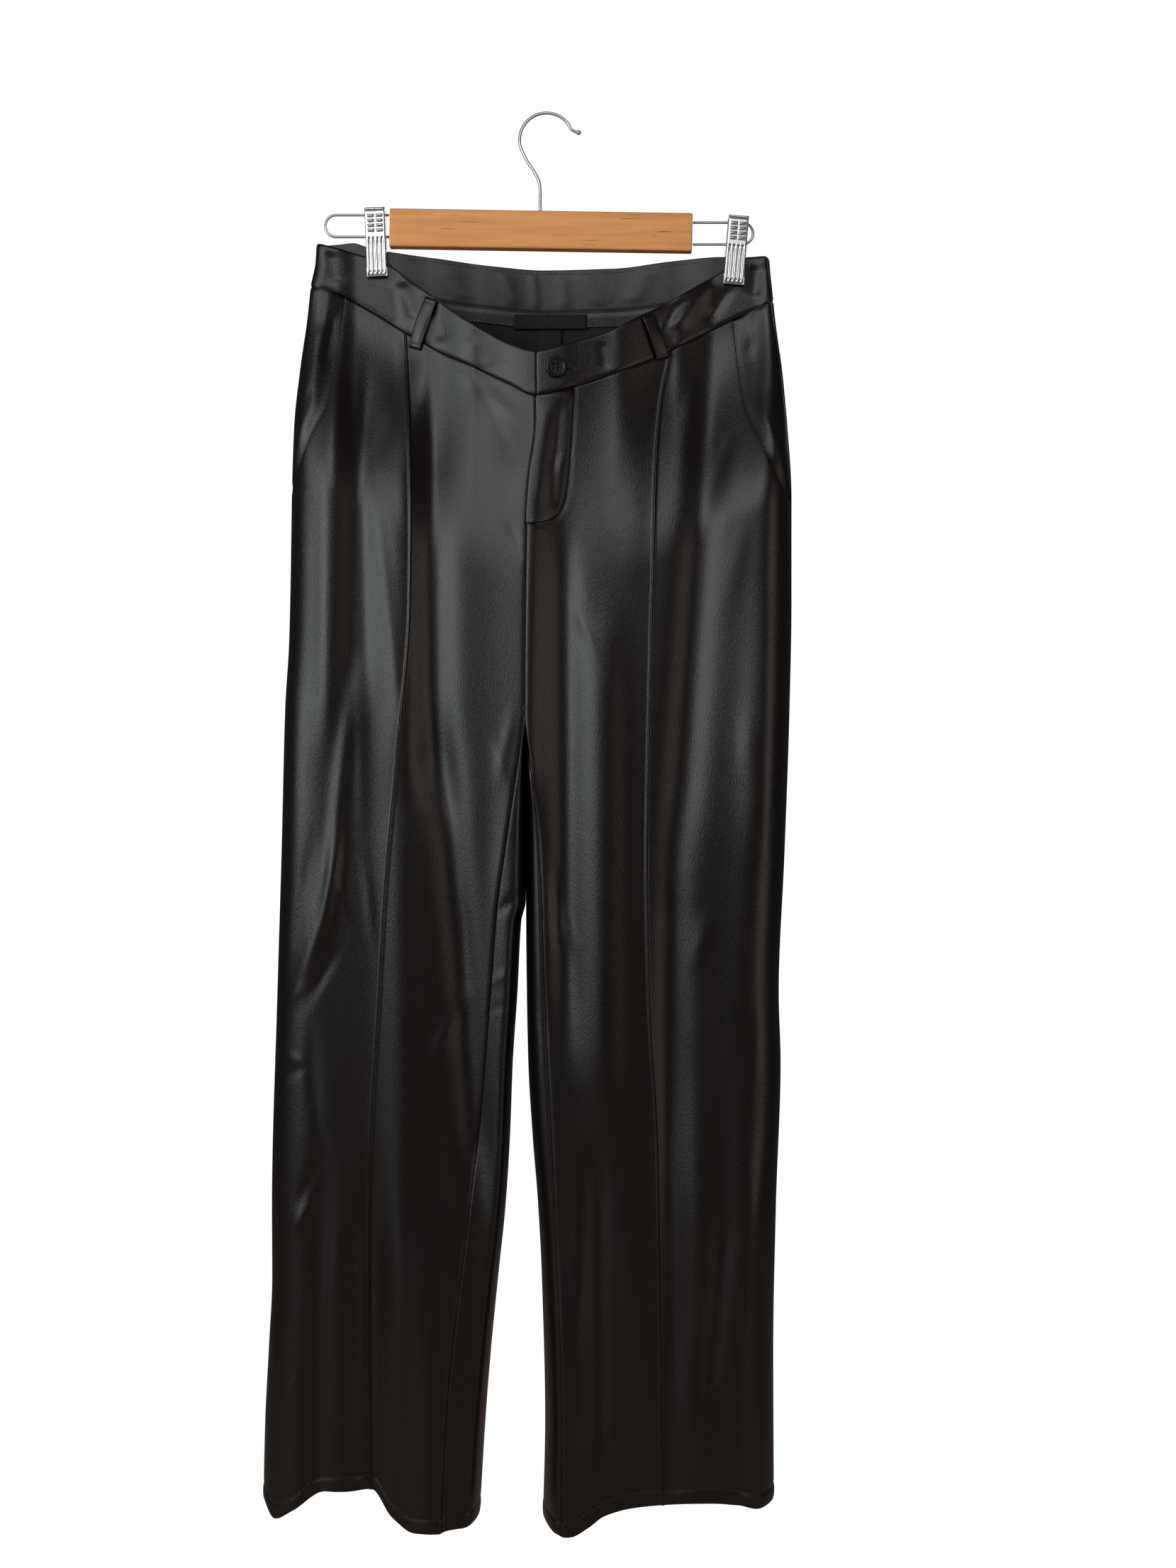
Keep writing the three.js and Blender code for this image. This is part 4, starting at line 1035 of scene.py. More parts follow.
@dataclass
class Waistband:
    """Curved waistband: two fronts, the back and the back's inner facing.

    Attributes:
        garment: Sections and seams.
        leather: Finish of the bands.
        inner: Finish of the facing.
        rows: Rows of points down the band.
        front_columns: Columns of a front.
        back_columns: Columns of half the back.
        facing_columns: Columns of half the facing.
        height: Height of the band.
        roll: How far the cloth sinks towards its edges.
        slit: Half length, half width and depth of the buttonhole.
        facing_drop: How much further down the facing reaches than the band.
        facing_creases: Folds of the facing.
        creases: Folds of the fronts.
    """

    garment: Garment
    leather: bpy.types.Material
    inner: bpy.types.Material
    rows: int = 36
    front_columns: int = 190
    back_columns: int = 130
    facing_columns: int = 124
    height: float = 36.0
    roll: float = 0.7
    slit: tuple[float, float, float] = (5.4, 1.1, 1.5)
    facing_drop: float = 11.0
    facing_creases: tuple[Fold, ...] = (
        Fold((-40, -126), (-30, -156), 6, 0.8),
        Fold((-16, -126), (-12, -158), 4, 0.7),
        Fold((8, -128), (12, -158), 5, 0.7),
        Fold((26, -126), (40, -156), 7, 0.6),
        Fold((-86, -122), (-70, -152), 8, 0.6),
        Fold((80, -122), (66, -154), 9, 0.7),
    )
    creases: tuple[Fold, ...] = (
        Fold((-124, -136), (-108, -172), 7, 1.4),
        Fold((-100, -150), (-88, -190), 7, -0.9),
        Fold((-60, -186), (-46, -212), 8, 0.9),
        Fold((132, -134), (98, -180), 8, 1.6),
        Fold((146, -140), (128, -170), 5, -1.2),
        Fold((110, -150), (84, -186), 6, -1.0),
        Fold((-180, -112), (-172, -140), 7, -1.0),
        Fold((168, -122), (164, -150), 6, -1.2),
        Fold((40, -190), (44, -214), 4, -0.8),
    )

    def build(self) -> None:
        """Make the four pieces."""
        for side in (LEFT, RIGHT):
            self._front(side)
        self._back()
        self._facing()

    def _rounded(self, share: Array, height: Array) -> Array:
        """Roll the band over at its upper and lower edges.

        The cloth sinks by roll * exp(-(distance / 1.2)^2) towards each edge.

        Args:
            share: Share of the way down.
            height: Height of the band.

        Returns:
            The lift of the cloth, never above zero.
        """
        down, up = share * height, (1 - share) * height
        return -self.roll * (np.exp(-((down / 1.2) ** 2)) + 0.8 * np.exp(-((up / 1.4) ** 2)))

    def _row_shares(self) -> Array:
        """Shares down the band, crowded at both edges."""
        t = spread(0, 1, self.rows)
        return t - np.sin(2 * math.pi * t) * 0.11

    def _grid(self, side: Side, face: Face, count: int) -> tuple[Array, Array, Array]:
        """Lay out one side of a band.

        Args:
            side: Which side.
            face: Front or back.
            count: Columns.

        Returns:
            The points, the outward directions and each point's share of the way down.
        """
        rings = self.garment.fields[side.name]
        front = face is Face.FRONT
        t = spread(0, 1, count)[None, :]

        def distance(z: Array) -> Array:
            """Distances from the outseam to the centre."""
            if front:
                return (side.outseam + SEAM_TRIM) * (1 - t) + (rings.curve(rings.turn_start, z) - SEAM_TRIM) * t
            start = rings.curve(rings.length, z) + side.outseam - 0.15
            return start * (1 - t) + rings.curve(rings.turn_end, z) * t

        top, seam = (FRONT_TOP, FRONT_SEAM) if front else (BACK_TOP, BACK_SEAM)
        share = np.repeat(self._row_shares()[:, None], count, axis=1)
        points, normals = self.garment.surface(
            side.name,
            distance,
            lambda x: look_up(top, 0, 1, x),
            lambda x: look_up(seam, 0, 1, x) + 0.15,
            share,
        )
        return points, normals, share

    def _front(self, side: Side) -> None:
        """Make one front of the band.

        Args:
            side: Which side.
        """
        points, normals, share = self._grid(side, Face.FRONT, self.front_columns)
        lift = self._rounded(share, self.height)
        if side is RIGHT:
            lift = lift + band_lift(points[..., 0], points[..., 2])
        lift += fold_height(self.creases, points[..., 0], points[..., 2])
        if side is RIGHT:
            (x, z), (half, width, depth) = BUTTONHOLE, self.slit
            along = np.exp(-(((points[..., 0] - x) / half) ** 8))
            lift -= depth * along * np.exp(-(((points[..., 2] - z) / width) ** 2))
        points = points + normals * lift[..., None]
        piece = shell_mesh(f"band_front_{side.name}", points, CLOTH, normals)
        piece.data.materials.append(self.leather)
        ClothPiece(piece.name, f"waistband_front_{side.name}", "leather", (0.24, 0.06), 0.0078).declare(piece)

    def _both(self, count: int) -> tuple[Array, Array, Array]:
        """Join the two halves of the back at the centre."""
        left = self._grid(LEFT, Face.BACK, count)
        right = self._grid(RIGHT, Face.BACK, count)
        return tuple(np.concatenate([a, b[:, ::-1][:, 1:]], axis=1) for a, b in zip(left, right))

    def _back(self) -> None:
        """Make the back of the band."""
        points, normals, share = self._both(self.back_columns)
        points = points + normals * self._rounded(share, self.height)[..., None]
        piece = shell_mesh("band_back", points, CLOTH, normals)
        piece.data.materials.append(self.leather)
        ClothPiece(piece.name, "waistband_back", "leather", (0.42, 0.06), 0.0143, rests_on=BACK_CLIPS).declare(piece)

    def _facing(self) -> None:
        """Make the inner facing of the back, which the open top shows."""
        points, normals, share = self._both(self.facing_columns)
        points, normals, share = points[:, 6:-6], normals[:, 6:-6], share[:, 6:-6]
        drop = -1.0 - self.facing_drop * share
        points = points + np.array([0.0, 0.0, 1.0]) * drop[..., None]
        height = look_up(BACK_SEAM, 0, 1, points[..., 0]) - 0.5
        groove = 0.9 * np.exp(-(((points[..., 2] - height) / 1.1) ** 2))
        full = 0.5 * np.sin(math.pi * np.clip(share / 0.72, 0, 1))
        wave = fold_height(self.facing_creases, points[..., 0], points[..., 2])
        wave = wave - 0.8 * ease((height - points[..., 2]) / 11.0)
        points = points - normals * (CLOTH + 1.0 - groove + 0.4 * full + wave)[..., None]
        piece = shell_mesh("band_back_facing", points, 1.2, normals)
        piece.data.materials.append(self.inner)
        sheet = ClothPiece(piece.name, "waistband_back_facing", "facing", (0.40, 0.07), 0.0176, rests_on=BACK_CLIPS)
        sheet.declare(piece)


class ClothFace:
    """Finds points on the outer face of the garment from x and z, for what lies on it."""

    def __init__(self, garment: Garment) -> None:
        """Keep each side's sections as y by x.

        Args:
            garment: Sections and seams.
        """
        self.garment = garment

    def distance(self, side: Side, x: Array, z: Array, face: Face) -> Array:
        """Find the distance along the section at which it reaches x, by halving the span.

        Args:
            side: Which side.
            x: Sideways places.
            z: Heights.
            face: Front or back.

        Returns:
            The distances.
        """
        rings = self.garment.fields[side.name]
        if face is Face.FRONT:
            low, high = 0.0 * z + 0.02, rings.curve(rings.turn_start, z) + 12.0 * (z < CROTCH)
        else:
            low, high = rings.curve(rings.length, z) - 0.02, rings.curve(rings.turn_end, z)
        for _ in range(24):
            middle = (low + high) / 2
            short = (rings.place(middle, z)[..., 0] - x) * side.direction < 0
            low = np.where(short, middle, low)
            high = np.where(short, high, middle)
        return (low + high) / 2

    def point(self, x: Array, z: Array, face: Face, lift: Array | float) -> tuple[Array, Array]:
        """Find points on the cloth, moved out from it.

        Args:
            x: Sideways places.
            z: Heights.
            face: Front or back.
            lift: Distance out from the face; below zero it is inside.

        Returns:
            The points and the outward directions.
        """
        x, z = np.broadcast_arrays(np.asarray(x, dtype=float), np.asarray(z, dtype=float))
        centre = look_up(CENTRE, 0, 1 if face is Face.FRONT else 2, z)
        points, normals = np.empty(x.shape + (3,)), np.empty(x.shape + (3,))
        for side in (LEFT, RIGHT):
            here = (x < centre) if side is LEFT else (x >= centre)
            if not here.any():
                continue
            s = self.distance(side, x[here], z[here], face)
            points[here, :2] = self.garment.fields[side.name].place(s, z[here])
            points[here, 2] = z[here]
            normals[here] = self.garment.outward(side.name, s, z[here])
        return points + normals * np.broadcast_to(lift, x.shape)[..., None], normals


@dataclass
class Trims:
    """Fly, belt loops, label and size tab.

    Attributes:
        cloth: Finds points on the garment.
        leather: Finish of the fly and loops.
        tape: Finish of the label and tab.
        loop_width: Width of a belt loop.
        fly_creases: Folds of the fly.
    """

    cloth: ClothFace
    leather: bpy.types.Material
    tape: bpy.types.Material
    loop_width: float = 10.5
    fly_creases: tuple[Fold, ...] = (
        Fold((-4, -240), (-10, -330), 5, 0.9),
        Fold((8, -236), (2, -300), 4, -0.8),
        Fold((8, -280), (6, -330), 4, 0.8),
    )

    def build(self) -> None:
        """Make every trim."""
        self._loop("belt_loop_front_left", *LEFT_LOOP, Face.FRONT)
        self._loop("belt_loop_front_right", *RIGHT_LOOP, Face.FRONT)
        self._loop("belt_loop_back", *BACK_LOOP, Face.BACK)
        self._fly()
        self._tape("label", (-31.5, 29.0), (-161.0, -173.0))
        self._tape("size_tab", (-10.3, 8.0), (-173.4, -199.0))

    def _loop(self, node: str, upper: tuple[float, float], lower: tuple[float, float], face: Face) -> None:
        """Make a strap sewn at both ends.

        It follows a straight line on the band and stands off it by rise * sin^0.6 between its ends,
        with its long edges rolled under.

        Args:
            node: Solid that it stands for.
            upper: x and z of its upper end.
            lower: x and z of its lower end.
            face: Front or back.
        """
        v = spread(0, 1, 48)[:, None]
        u = spread(-0.5, 0.5, 15)[None, :]
        run = np.array(lower) - np.array(upper)
        across = np.array([-run[1], run[0]]) / np.hypot(*run)
        x = upper[0] + run[0] * v + across[0] * u * self.loop_width
        z = upper[1] + run[1] * v + across[1] * u * self.loop_width
        roll = -0.8 * (np.abs(u) * 2) ** 8
        stitch = -0.25 * np.exp(-(((np.abs(u) - 0.33) * self.loop_width / 0.7) ** 2))
        ends = -0.7 * (np.exp(-((v / 0.03) ** 2)) + np.exp(-(((1 - v) / 0.03) ** 2)))
        bars = -0.35 * (np.exp(-(((v - 0.09) / 0.025) ** 2)) + np.exp(-(((v - 0.91) / 0.025) ** 2)))
        lift = LOOP_SEAT + LOOP_RISE * np.sin(math.pi * v) ** 0.6 + roll + stitch + ends + bars
        points, normals = self.cloth.point(x, z, face, lift)
        piece = shell_mesh(f"loop_{node[10:]}", points, 1.2, normals)
        piece.data.materials.append(self.leather)
        ClothPiece(piece.name, node, "leather", (0.011, 0.05), 0.00048).declare(piece)

    def _fly(self) -> None:
        """Make the curved fly, an extra layer beside the centre line that thins to its edge."""
        v = spread(0, 1, 150)[:, None]
        u = spread(0, 1, 34)[None, :]
        top = look_up(FRONT_SEAM, 0, 1, np.array([4.0]))[0] - 0.9
        guess = top + (FLY_EDGE[-1][0] - top) * (1 - (1 - v) ** 1.6)
        centre = look_up(CENTRE, 0, 1, guess) - 0.9
        x = centre + (look_up(FLY_EDGE, 0, 1, guess) - 0.5 - centre) * u
        ceiling = look_up(FRONT_SEAM, 0, 1, x) - 0.5
        z = np.where(v == 0, ceiling, np.minimum(guess + 0 * u, ceiling - 5 * v))
        edge = (look_up(FLY_EDGE, 0, 1, guess) - centre) * (1 - u)
        start = (look_up(FLY_EDGE, 0, 1, guess) - centre) * u
        full = 1.15 + 0.9 * np.sin(math.pi * u) + fold_height(self.fly_creases, x, z)
        lift = full * ease((edge + 0.3) / 3.2) + 0.3 - 0.9 * np.exp(-((start / 0.9) ** 2))
        lift = lift - 0.9 * ease((v - 0.93) / 0.07) - 0.8 * ease((0.02 - v) / 0.02)
        points, normals = self.cloth.point(x, z, Face.FRONT, lift)
        piece = shell_mesh("fly", points, 0.9, normals)
        piece.data.materials.append(self.leather)
        ClothPiece(piece.name, "fly_flap", "leather", (0.036, 0.115), 0.0036).declare(piece)

    def _tape(self, node: str, across: tuple[float, float], down: tuple[float, float]) -> None:
        """Make a flat woven tape inside the back, a little full between its sewn edges.

        Args:
            node: Solid that it stands for.
            across: x of its two side edges.
            down: z of its upper and lower edges.
        """
        v = spread(0, 1, 14)[:, None]
        u = spread(0, 1, 40)[None, :]
        x = across[0] + (across[1] - across[0]) * u + 0 * v
        z = down[0] + (down[1] - down[0]) * v + 0 * u
        lift = -CLOTH - 2.5 - 0.4 * np.sin(math.pi * u) * np.sin(math.pi * v) ** 0.5
        points, normals = self.cloth.point(x, z, Face.BACK, lift)
        piece = shell_mesh(f"{node}_tape", points, 0.5, -normals)
        piece.data.materials.append(self.tape)
        width, height = (across[1] - across[0]) * MM, (down[0] - down[1]) * MM
        ClothPiece(piece.name, node, "label", (width, height), width * height, rests_on=BACK_CLIPS).declare(piece)


def solid_mesh(name: str, points: Array, closed: tuple[bool, bool], caps: bool) -> bpy.types.Object:
    """Make a closed body from a grid of points that wraps round.

    Args:
        name: Name of the piece.
        points: Grid of points in millimetres, rows along and columns round.
        closed: Whether the rows and the columns join end to start.
        caps: Whether the first and last rows are closed with a face each.

    Returns:
        The object.
    """
    rows, columns = points.shape[:2]
    index = np.arange(rows * columns).reshape(rows, columns)
    down = np.roll(index, -1, axis=0) if closed[0] else index[1:]
    upper = index if closed[0] else index[:-1]
    if closed[1]:
        quads = np.stack([upper, down, np.roll(down, -1, axis=1), np.roll(upper, -1, axis=1)], axis=-1)
    else:
        quads = np.stack([upper[:, :-1], down[:, :-1], down[:, 1:], upper[:, 1:]], axis=-1)
    faces = quads.reshape(-1, 4).tolist()
    if caps:
        faces += [index[0].tolist(), index[-1][::-1].tolist()]
    mesh = bpy.data.meshes.new(name)
    mesh.from_pydata((points.reshape(-1, 3) * MM).tolist(), [], faces)
    turn_outwards(mesh)
    mesh.polygons.foreach_set("use_smooth", np.ones(len(mesh.polygons), dtype=bool))
    piece = bpy.data.objects.new(name, mesh)
    bpy.context.scene.collection.objects.link(piece)
    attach(piece, "root")
    return piece


def turn_outwards(mesh: bpy.types.Mesh) -> None:
    """Turn the faces of a closed mesh outwards.

    Args:
        mesh: The mesh.
    """
    work = bmesh.new()
    work.from_mesh(mesh)
    bmesh.ops.remove_doubles(work, verts=work.verts, dist=1e-7)
    bmesh.ops.recalc_face_normals(work, faces=work.faces)
    work.to_mesh(mesh)
    work.free()


def tube(path: Array, radius: float, around: int) -> Array:
    """Carry a circle along a path that lies in the plane of x and z.

    Args:
        path: Points of the path.
        radius: Radius of the wire.
        around: Points round the circle.

    Returns:
        The grid of points.
    """
    run = np.gradient(path, axis=0)
    run /= np.linalg.norm(run, axis=1, keepdims=True)
    side = np.stack([run[:, 2], 0 * run[:, 0], -run[:, 0]], axis=1)
    turn = np.linspace(0, 2 * math.pi, around, endpoint=False)
    depth = np.array([0.0, 1.0, 0.0])
    ring = np.cos(turn)[None, :, None] * side[:, None, :] + np.sin(turn)[None, :, None] * depth
    return path[:, None, :] + radius * ring


def resample(points: Array, count: int) -> Array:
    """Return evenly spaced points along a smooth line through the given ones.

    Each span between two points is a Catmull-Rom cubic.

    Args:
        points: The given points.
        count: How many to return.

    Returns:
        The new points.
    """
    ghost = np.vstack([2 * points[0] - points[1], points, 2 * points[-1] - points[-2]])
    t = np.linspace(0, len(points) - 1 - 1e-9, count * 4)
    k = t.astype(int)
    f = (t - k)[:, None]
    a, b, c, d = (ghost[k + n] for n in range(4))
    fine = 0.5 * (2 * b + (c - a) * f + (2 * a - 5 * b + 4 * c - d) * f**2 + (3 * b - a - 3 * c + d) * f**3)
    along = np.concatenate([[0], np.cumsum(np.linalg.norm(np.diff(fine, axis=0), axis=1))])
    even = np.linspace(0, along[-1], count)
    return np.stack([np.interp(even, along, fine[:, axis]) for axis in range(3)], axis=1)


@dataclass
class Hanger:
    """Wooden bar with a wire hook, two rail loops and two pressed clips.

    Attributes:
        wood: Finish of the bar.
        nickel: Finish of the clips.
        zinc: Finish of the wire.
        bar_size: Length, thickness and height of the bar.
        bar_place: x and z of its middle.
        bar_round: Radius of its edges.
        hook_wire: Radius of the hook's wire.
        hook_radius: Radius of the hook's arc.
        hook_middle: x and z of the arc's middle.
        hook_end: x and z of the small ball.
        ball: Radius of the small ball.
        shaft: x of the hook's shaft.
        rail_wire: Radius of the rails' wire.
        rail_gap: Half the space between the two rails of a loop.
    """

    wood: bpy.types.Material
    nickel: bpy.types.Material
    zinc: bpy.types.Material
    bar_size: tuple[float, float, float] = (246.4, 12.5, 31.0)
    bar_place: tuple[float, float] = (-8.5, -94.8)
    bar_round: float = 1.6
    hook_wire: float = 1.3
    hook_radius: float = 21.9
    hook_middle: tuple[float, float] = (-4.0, -20.3)
    hook_end: tuple[float, float] = (22.2, -14.4)
    ball: float = 2.0
    shaft: float = -9.2
    rail_wire: float = 1.1
    rail_gap: float = 8.9

    def build(self) -> None:
        """Make every piece of the hanger."""
        self._bar()
        self._hook()
        for name, start, reach, rail, x, z, lean in (
            ("left", -132.4, -52.0, -90.6, -142.6, -105.2, -0.04),
            ("right", 115.4, 49.0, -96.7, 150.2, -111.6, 0.08),
        ):
            self._rail(name, start, reach, rail)
            for face in Face:
                self._clip(name, face, x, z, lean)

    def _finish(self, piece: bpy.types.Object, node: str, material: bpy.types.Material) -> None:
        """Dress a piece and let it stand for its solid."""
        piece.data.materials.append(material)
        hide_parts(node)
        LOG.info("%s: %d vertices", piece.name, len(piece.data.vertices))

    def _bar(self) -> None:
        """Make the bar: a rounded rectangle carried along it, drawn in at both ends."""
        length, thick, height = self.bar_size
        r = self.bar_round
        ring = []
        for sx, sy, first in ((1, 1, 0), (-1, 1, 1), (-1, -1, 2), (1, -1, 3)):
            angle = math.pi / 2 * (first + np.linspace(0, 1, 9))
            middle = np.array([sx * (thick / 2 - r), sy * (height / 2 - r)])
            ring.append(middle + r * np.stack([np.cos(angle), np.sin(angle)], axis=1))
        ring = np.concatenate(ring)
        ends = np.array([0.0, 0.12, 0.35, 0.7, 1.1])
        along = np.concatenate([ends, np.linspace(3, length - 3, 40), length - ends[::-1]]) - length / 2
        near = np.minimum(along + length / 2, length / 2 - along)
        inset = 1.1 - np.sqrt(np.clip(1.1**2 - (1.1 - np.clip(near, 0, 1.1)) ** 2, 0, None))
        shrink = 1 - inset[:, None] * 2 / np.array([thick, height])
        y = ring[None, :, 0] * shrink[:, :1]
        up = ring[None, :, 1] * shrink[:, 1:]
        x = along[:, None] + 0 * up
        cos, sin = math.cos(BAR_TILT), math.sin(BAR_TILT)
        place = self.bar_place
        points = np.stack([place[0] + x * cos + up * sin, y, place[1] - x * sin + up * cos], axis=-1)
        piece = solid_mesh("bar", points, (False, True), True)
        self._finish(piece, "hanger_bar", self.wood)

    def _hook(self) -> None:
        """Make the hook: a straight shaft, a bend and a large arc that ends in a small ball."""
        x, z = self.hook_middle
        turn = np.radians(np.linspace(195, 24, 13))
        arc = np.stack([x + self.hook_radius * np.cos(turn), 0 * turn, z + self.hook_radius * np.sin(turn)], axis=1)
        stem = np.array([
            (self.shaft, 0, -78.7), (self.shaft, 0, -70), (self.shaft, 0, -62), (-10.4, 0, -53.5),
            (-14.8, 0, -45), (-20.4, 0, -36.6),
        ])
        foot = np.array([self.hook_end[0], 0, self.hook_end[1]])
        tail = np.array([(19.2, 0, -13.4), foot])
        path = resample(np.vstack([stem, arc, tail]), 150)
        wire = solid_mesh("hook_wire", tube(path, self.hook_wire, 20), (False, True), True)
        self._finish(wire, "hanger_hook", self.zinc)
        v = np.linspace(0, math.pi, 20)[:, None]
        u = np.linspace(0, 2 * math.pi, 28, endpoint=False)[None, :]
        ball = np.stack([np.sin(v) * np.cos(u), np.sin(v) * np.sin(u), np.cos(v) + 0 * u], axis=-1) * self.ball
        knob = solid_mesh("hook_ball", ball + foot, (False, True), False)
        knob.data.materials.append(self.zinc)

    def _rail(self, name: str, start: float, reach: float, z: float) -> None:
        """Make a rail loop: two straight rails joined by a half circle.

        Args:
            name: Which side.
            start: x where it leaves the bar.
            reach: How far it goes out.
            z: Height of its middle.
        """
        sign, gap = math.copysign(1, reach), self.rail_gap
        straight = abs(reach) - gap
        out = np.linspace(0, straight, 30)
        turn = np.linspace(0, math.pi, 40)[1:-1]
        x = np.concatenate([out, straight + gap * np.sin(turn), out[::-1]])
        up = np.concatenate([0 * out + gap, gap * np.cos(turn), 0 * out - gap])
        path = np.stack([start + sign * x, 0 * x, z + up], axis=1)
        piece = solid_mesh(f"rail_{name}", tube(path, self.rail_wire, 18), (False, True), True)
        self._finish(piece, f"hanger_rail_{name}", self.zinc)

    def _clip(self, name: str, face: Face, x: float, z: float, lean: float) -> None:
        """Make one pressed plate of a clip: a channel section carried up its height, with relief.

        Across, the plate is flat between two rounded corners and turns back into flanges. Down its
        height it is pressed out in a rolled lip, rows of short ridges and long grooves.

        Args:
            name: Which side.
            face: Front or back plate.
            x: Middle of the clip.
            z: Middle of its height.
            lean: Turn about the depth axis.
        """
        half, height, front, flange = 8.3, 56.0, 7.7, 4.4
        bend = 1.3
        angle = np.linspace(0, math.pi / 2, 7)
        flat = np.linspace(-half + bend, half - bend, 47)
        back = np.linspace(flange, bend, 6)[:-1]
        u = np.concatenate([0 * back - half, -half + bend * (1 - np.cos(angle)), flat[1:-1],
                            half - bend * (1 - np.cos(angle[::-1])), 0 * back + half])
        depth = np.concatenate([back, bend * (1 - np.sin(angle)), 0 * flat[1:-1],
                                bend * (1 - np.sin(angle[::-1])), back[::-1]])
        v = np.linspace(height / 2, -height / 2, 141)
        across, up = np.meshgrid(u, v)
        deep = np.repeat(depth[None, :], len(v), axis=0)
        relief = self._relief(across, up, height)
        inner = np.abs(across) < half - bend * 0.6
        lip = np.exp(-(((height / 2 - up) / 2.2) ** 4))
        taper = ease((up + height / 2 - 3) / 9) * (1 - 0.5 * lip)
        y = -front + deep * np.where(deep > bend * 0.6, taper * 0.85 + 0.15, 1.0) - relief * inner
        y = np.minimum(y, -front + 7.3)
        cos, sin = math.cos(lean), math.sin(lean)
        turned = across * cos + up * sin
        raised = -across * sin + up * cos
        if face is Face.BACK:
            y = -y
        points = np.stack([x + turned, y, z + raised], axis=-1)
        outward = np.zeros(points.shape)
        outward[..., 1] = -1.0 if face is Face.FRONT else 1.0
        word = face.name.lower()
        piece = shell_mesh(f"clip_plate_{word}_{name}", points, 0.9, outward)
        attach(piece, "root")
        self._finish(piece, f"clip_{word}_{name}", self.nickel)

    def _relief(self, across: Array, up: Array, height: float) -> Array:
        """Work out how far the plate is pressed out.

        The lip is a raised band at the top, the ridges are short bars in two columns and four rows,
        and the grooves are four long hollows below them.

        Args:
            across: Sideways places on the plate.
            up: Heights on the plate.
            height: The plate's height.

        Returns:
            The distance pressed out.
        """
        top = height / 2
        lip = 1.0 * np.exp(-(((top - 1.3 - up) / 1.1) ** 4))
        ridges = np.zeros(across.shape)
        for row in range(4):
            bar = np.exp(-(((up - (top - 6.5 - row * 4)) / 0.9) ** 4))
            for sign in (-1, 1):
                ridges += 0.9 * bar * np.exp(-(((across - sign * 3.5) / 2.5) ** 8))
        grooves = np.zeros(across.shape)
        run = np.exp(-(((up - (-top + 17)) / 13.5) ** 10))
        for place in (-5.1, -1.75, 1.75, 5.1):
            grooves += 1.1 * run * np.exp(-(((across - place) / 0.95) ** 4))
        jaw = 0.5 * np.exp(-(((up + top) / 2.5) ** 2))
        return lip + ridges - grooves - jaw


@dataclass
class Button:
    """Four-holed button with a rim, worked out as heights over a disc.

    Attributes:
        cloth: Finds points on the garment.
        horn: Finish.
        radius: Outer radius.
        thick: Height of the rim.
        place: x and z of its middle.
        hole: Radius of a hole.
        spread: How far the holes stand from the middle, along x and z.
    """

    cloth: ClothFace
    horn: bpy.types.Material
    radius: float = 8.4
    thick: float = 3.0
    place: tuple[float, float] = (4.0, -212.7)
    hole: float = 1.0
    spread: float = 1.75

    def build(self) -> None:
        """Make the button: rim, dished middle and four deep round holes."""
        r = np.concatenate([np.linspace(0, 0.8, 44), np.linspace(0.8, 1.0, 22)[1:]])[:, None] * self.radius
        turn = np.linspace(0, 2 * math.pi, 96, endpoint=False)[None, :]
        x, z = r * np.cos(turn), r * np.sin(turn)
        edge = self.radius - r
        height = self.thick - 1.2 * (1 - np.clip(edge / 1.2, 0, 1)) ** 2
        height = height - 0.95 * ease((edge - 1.6) / 1.2) + 0 * turn
        for sx, sz in ((1, 1), (1, -1), (-1, 1), (-1, -1)):
            away = np.hypot(x - sx * self.spread, z - sz * self.spread)
            height = height - 1.7 * (1 - ease((away - self.hole + 0.15) / 0.3))
        side = np.array([[1.0], [0.985]]) * self.radius
        low = np.stack([side * np.cos(turn), side * np.sin(turn), np.array([[0.9], [0.0]]) + 0 * turn], axis=-1)
        top = np.stack([x, z, height], axis=-1)
        local = np.concatenate([top, low], axis=0)
        seat, normal = self.cloth.point(np.array([self.place[0]]), np.array([self.place[1]]), Face.FRONT, 1.3)
        out = normal[0]
        right = np.cross(np.array([0.0, 0.0, 1.0]), out)
        right /= np.linalg.norm(right)
        up = np.cross(out, right)
        points = seat[0] + local[..., :1] * right + local[..., 1:2] * up + local[..., 2:] * out
        piece = solid_mesh("button_disc", points, (False, True), False)
        close_base(piece.data)
        piece.data.materials.append(self.horn)
        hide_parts("button")


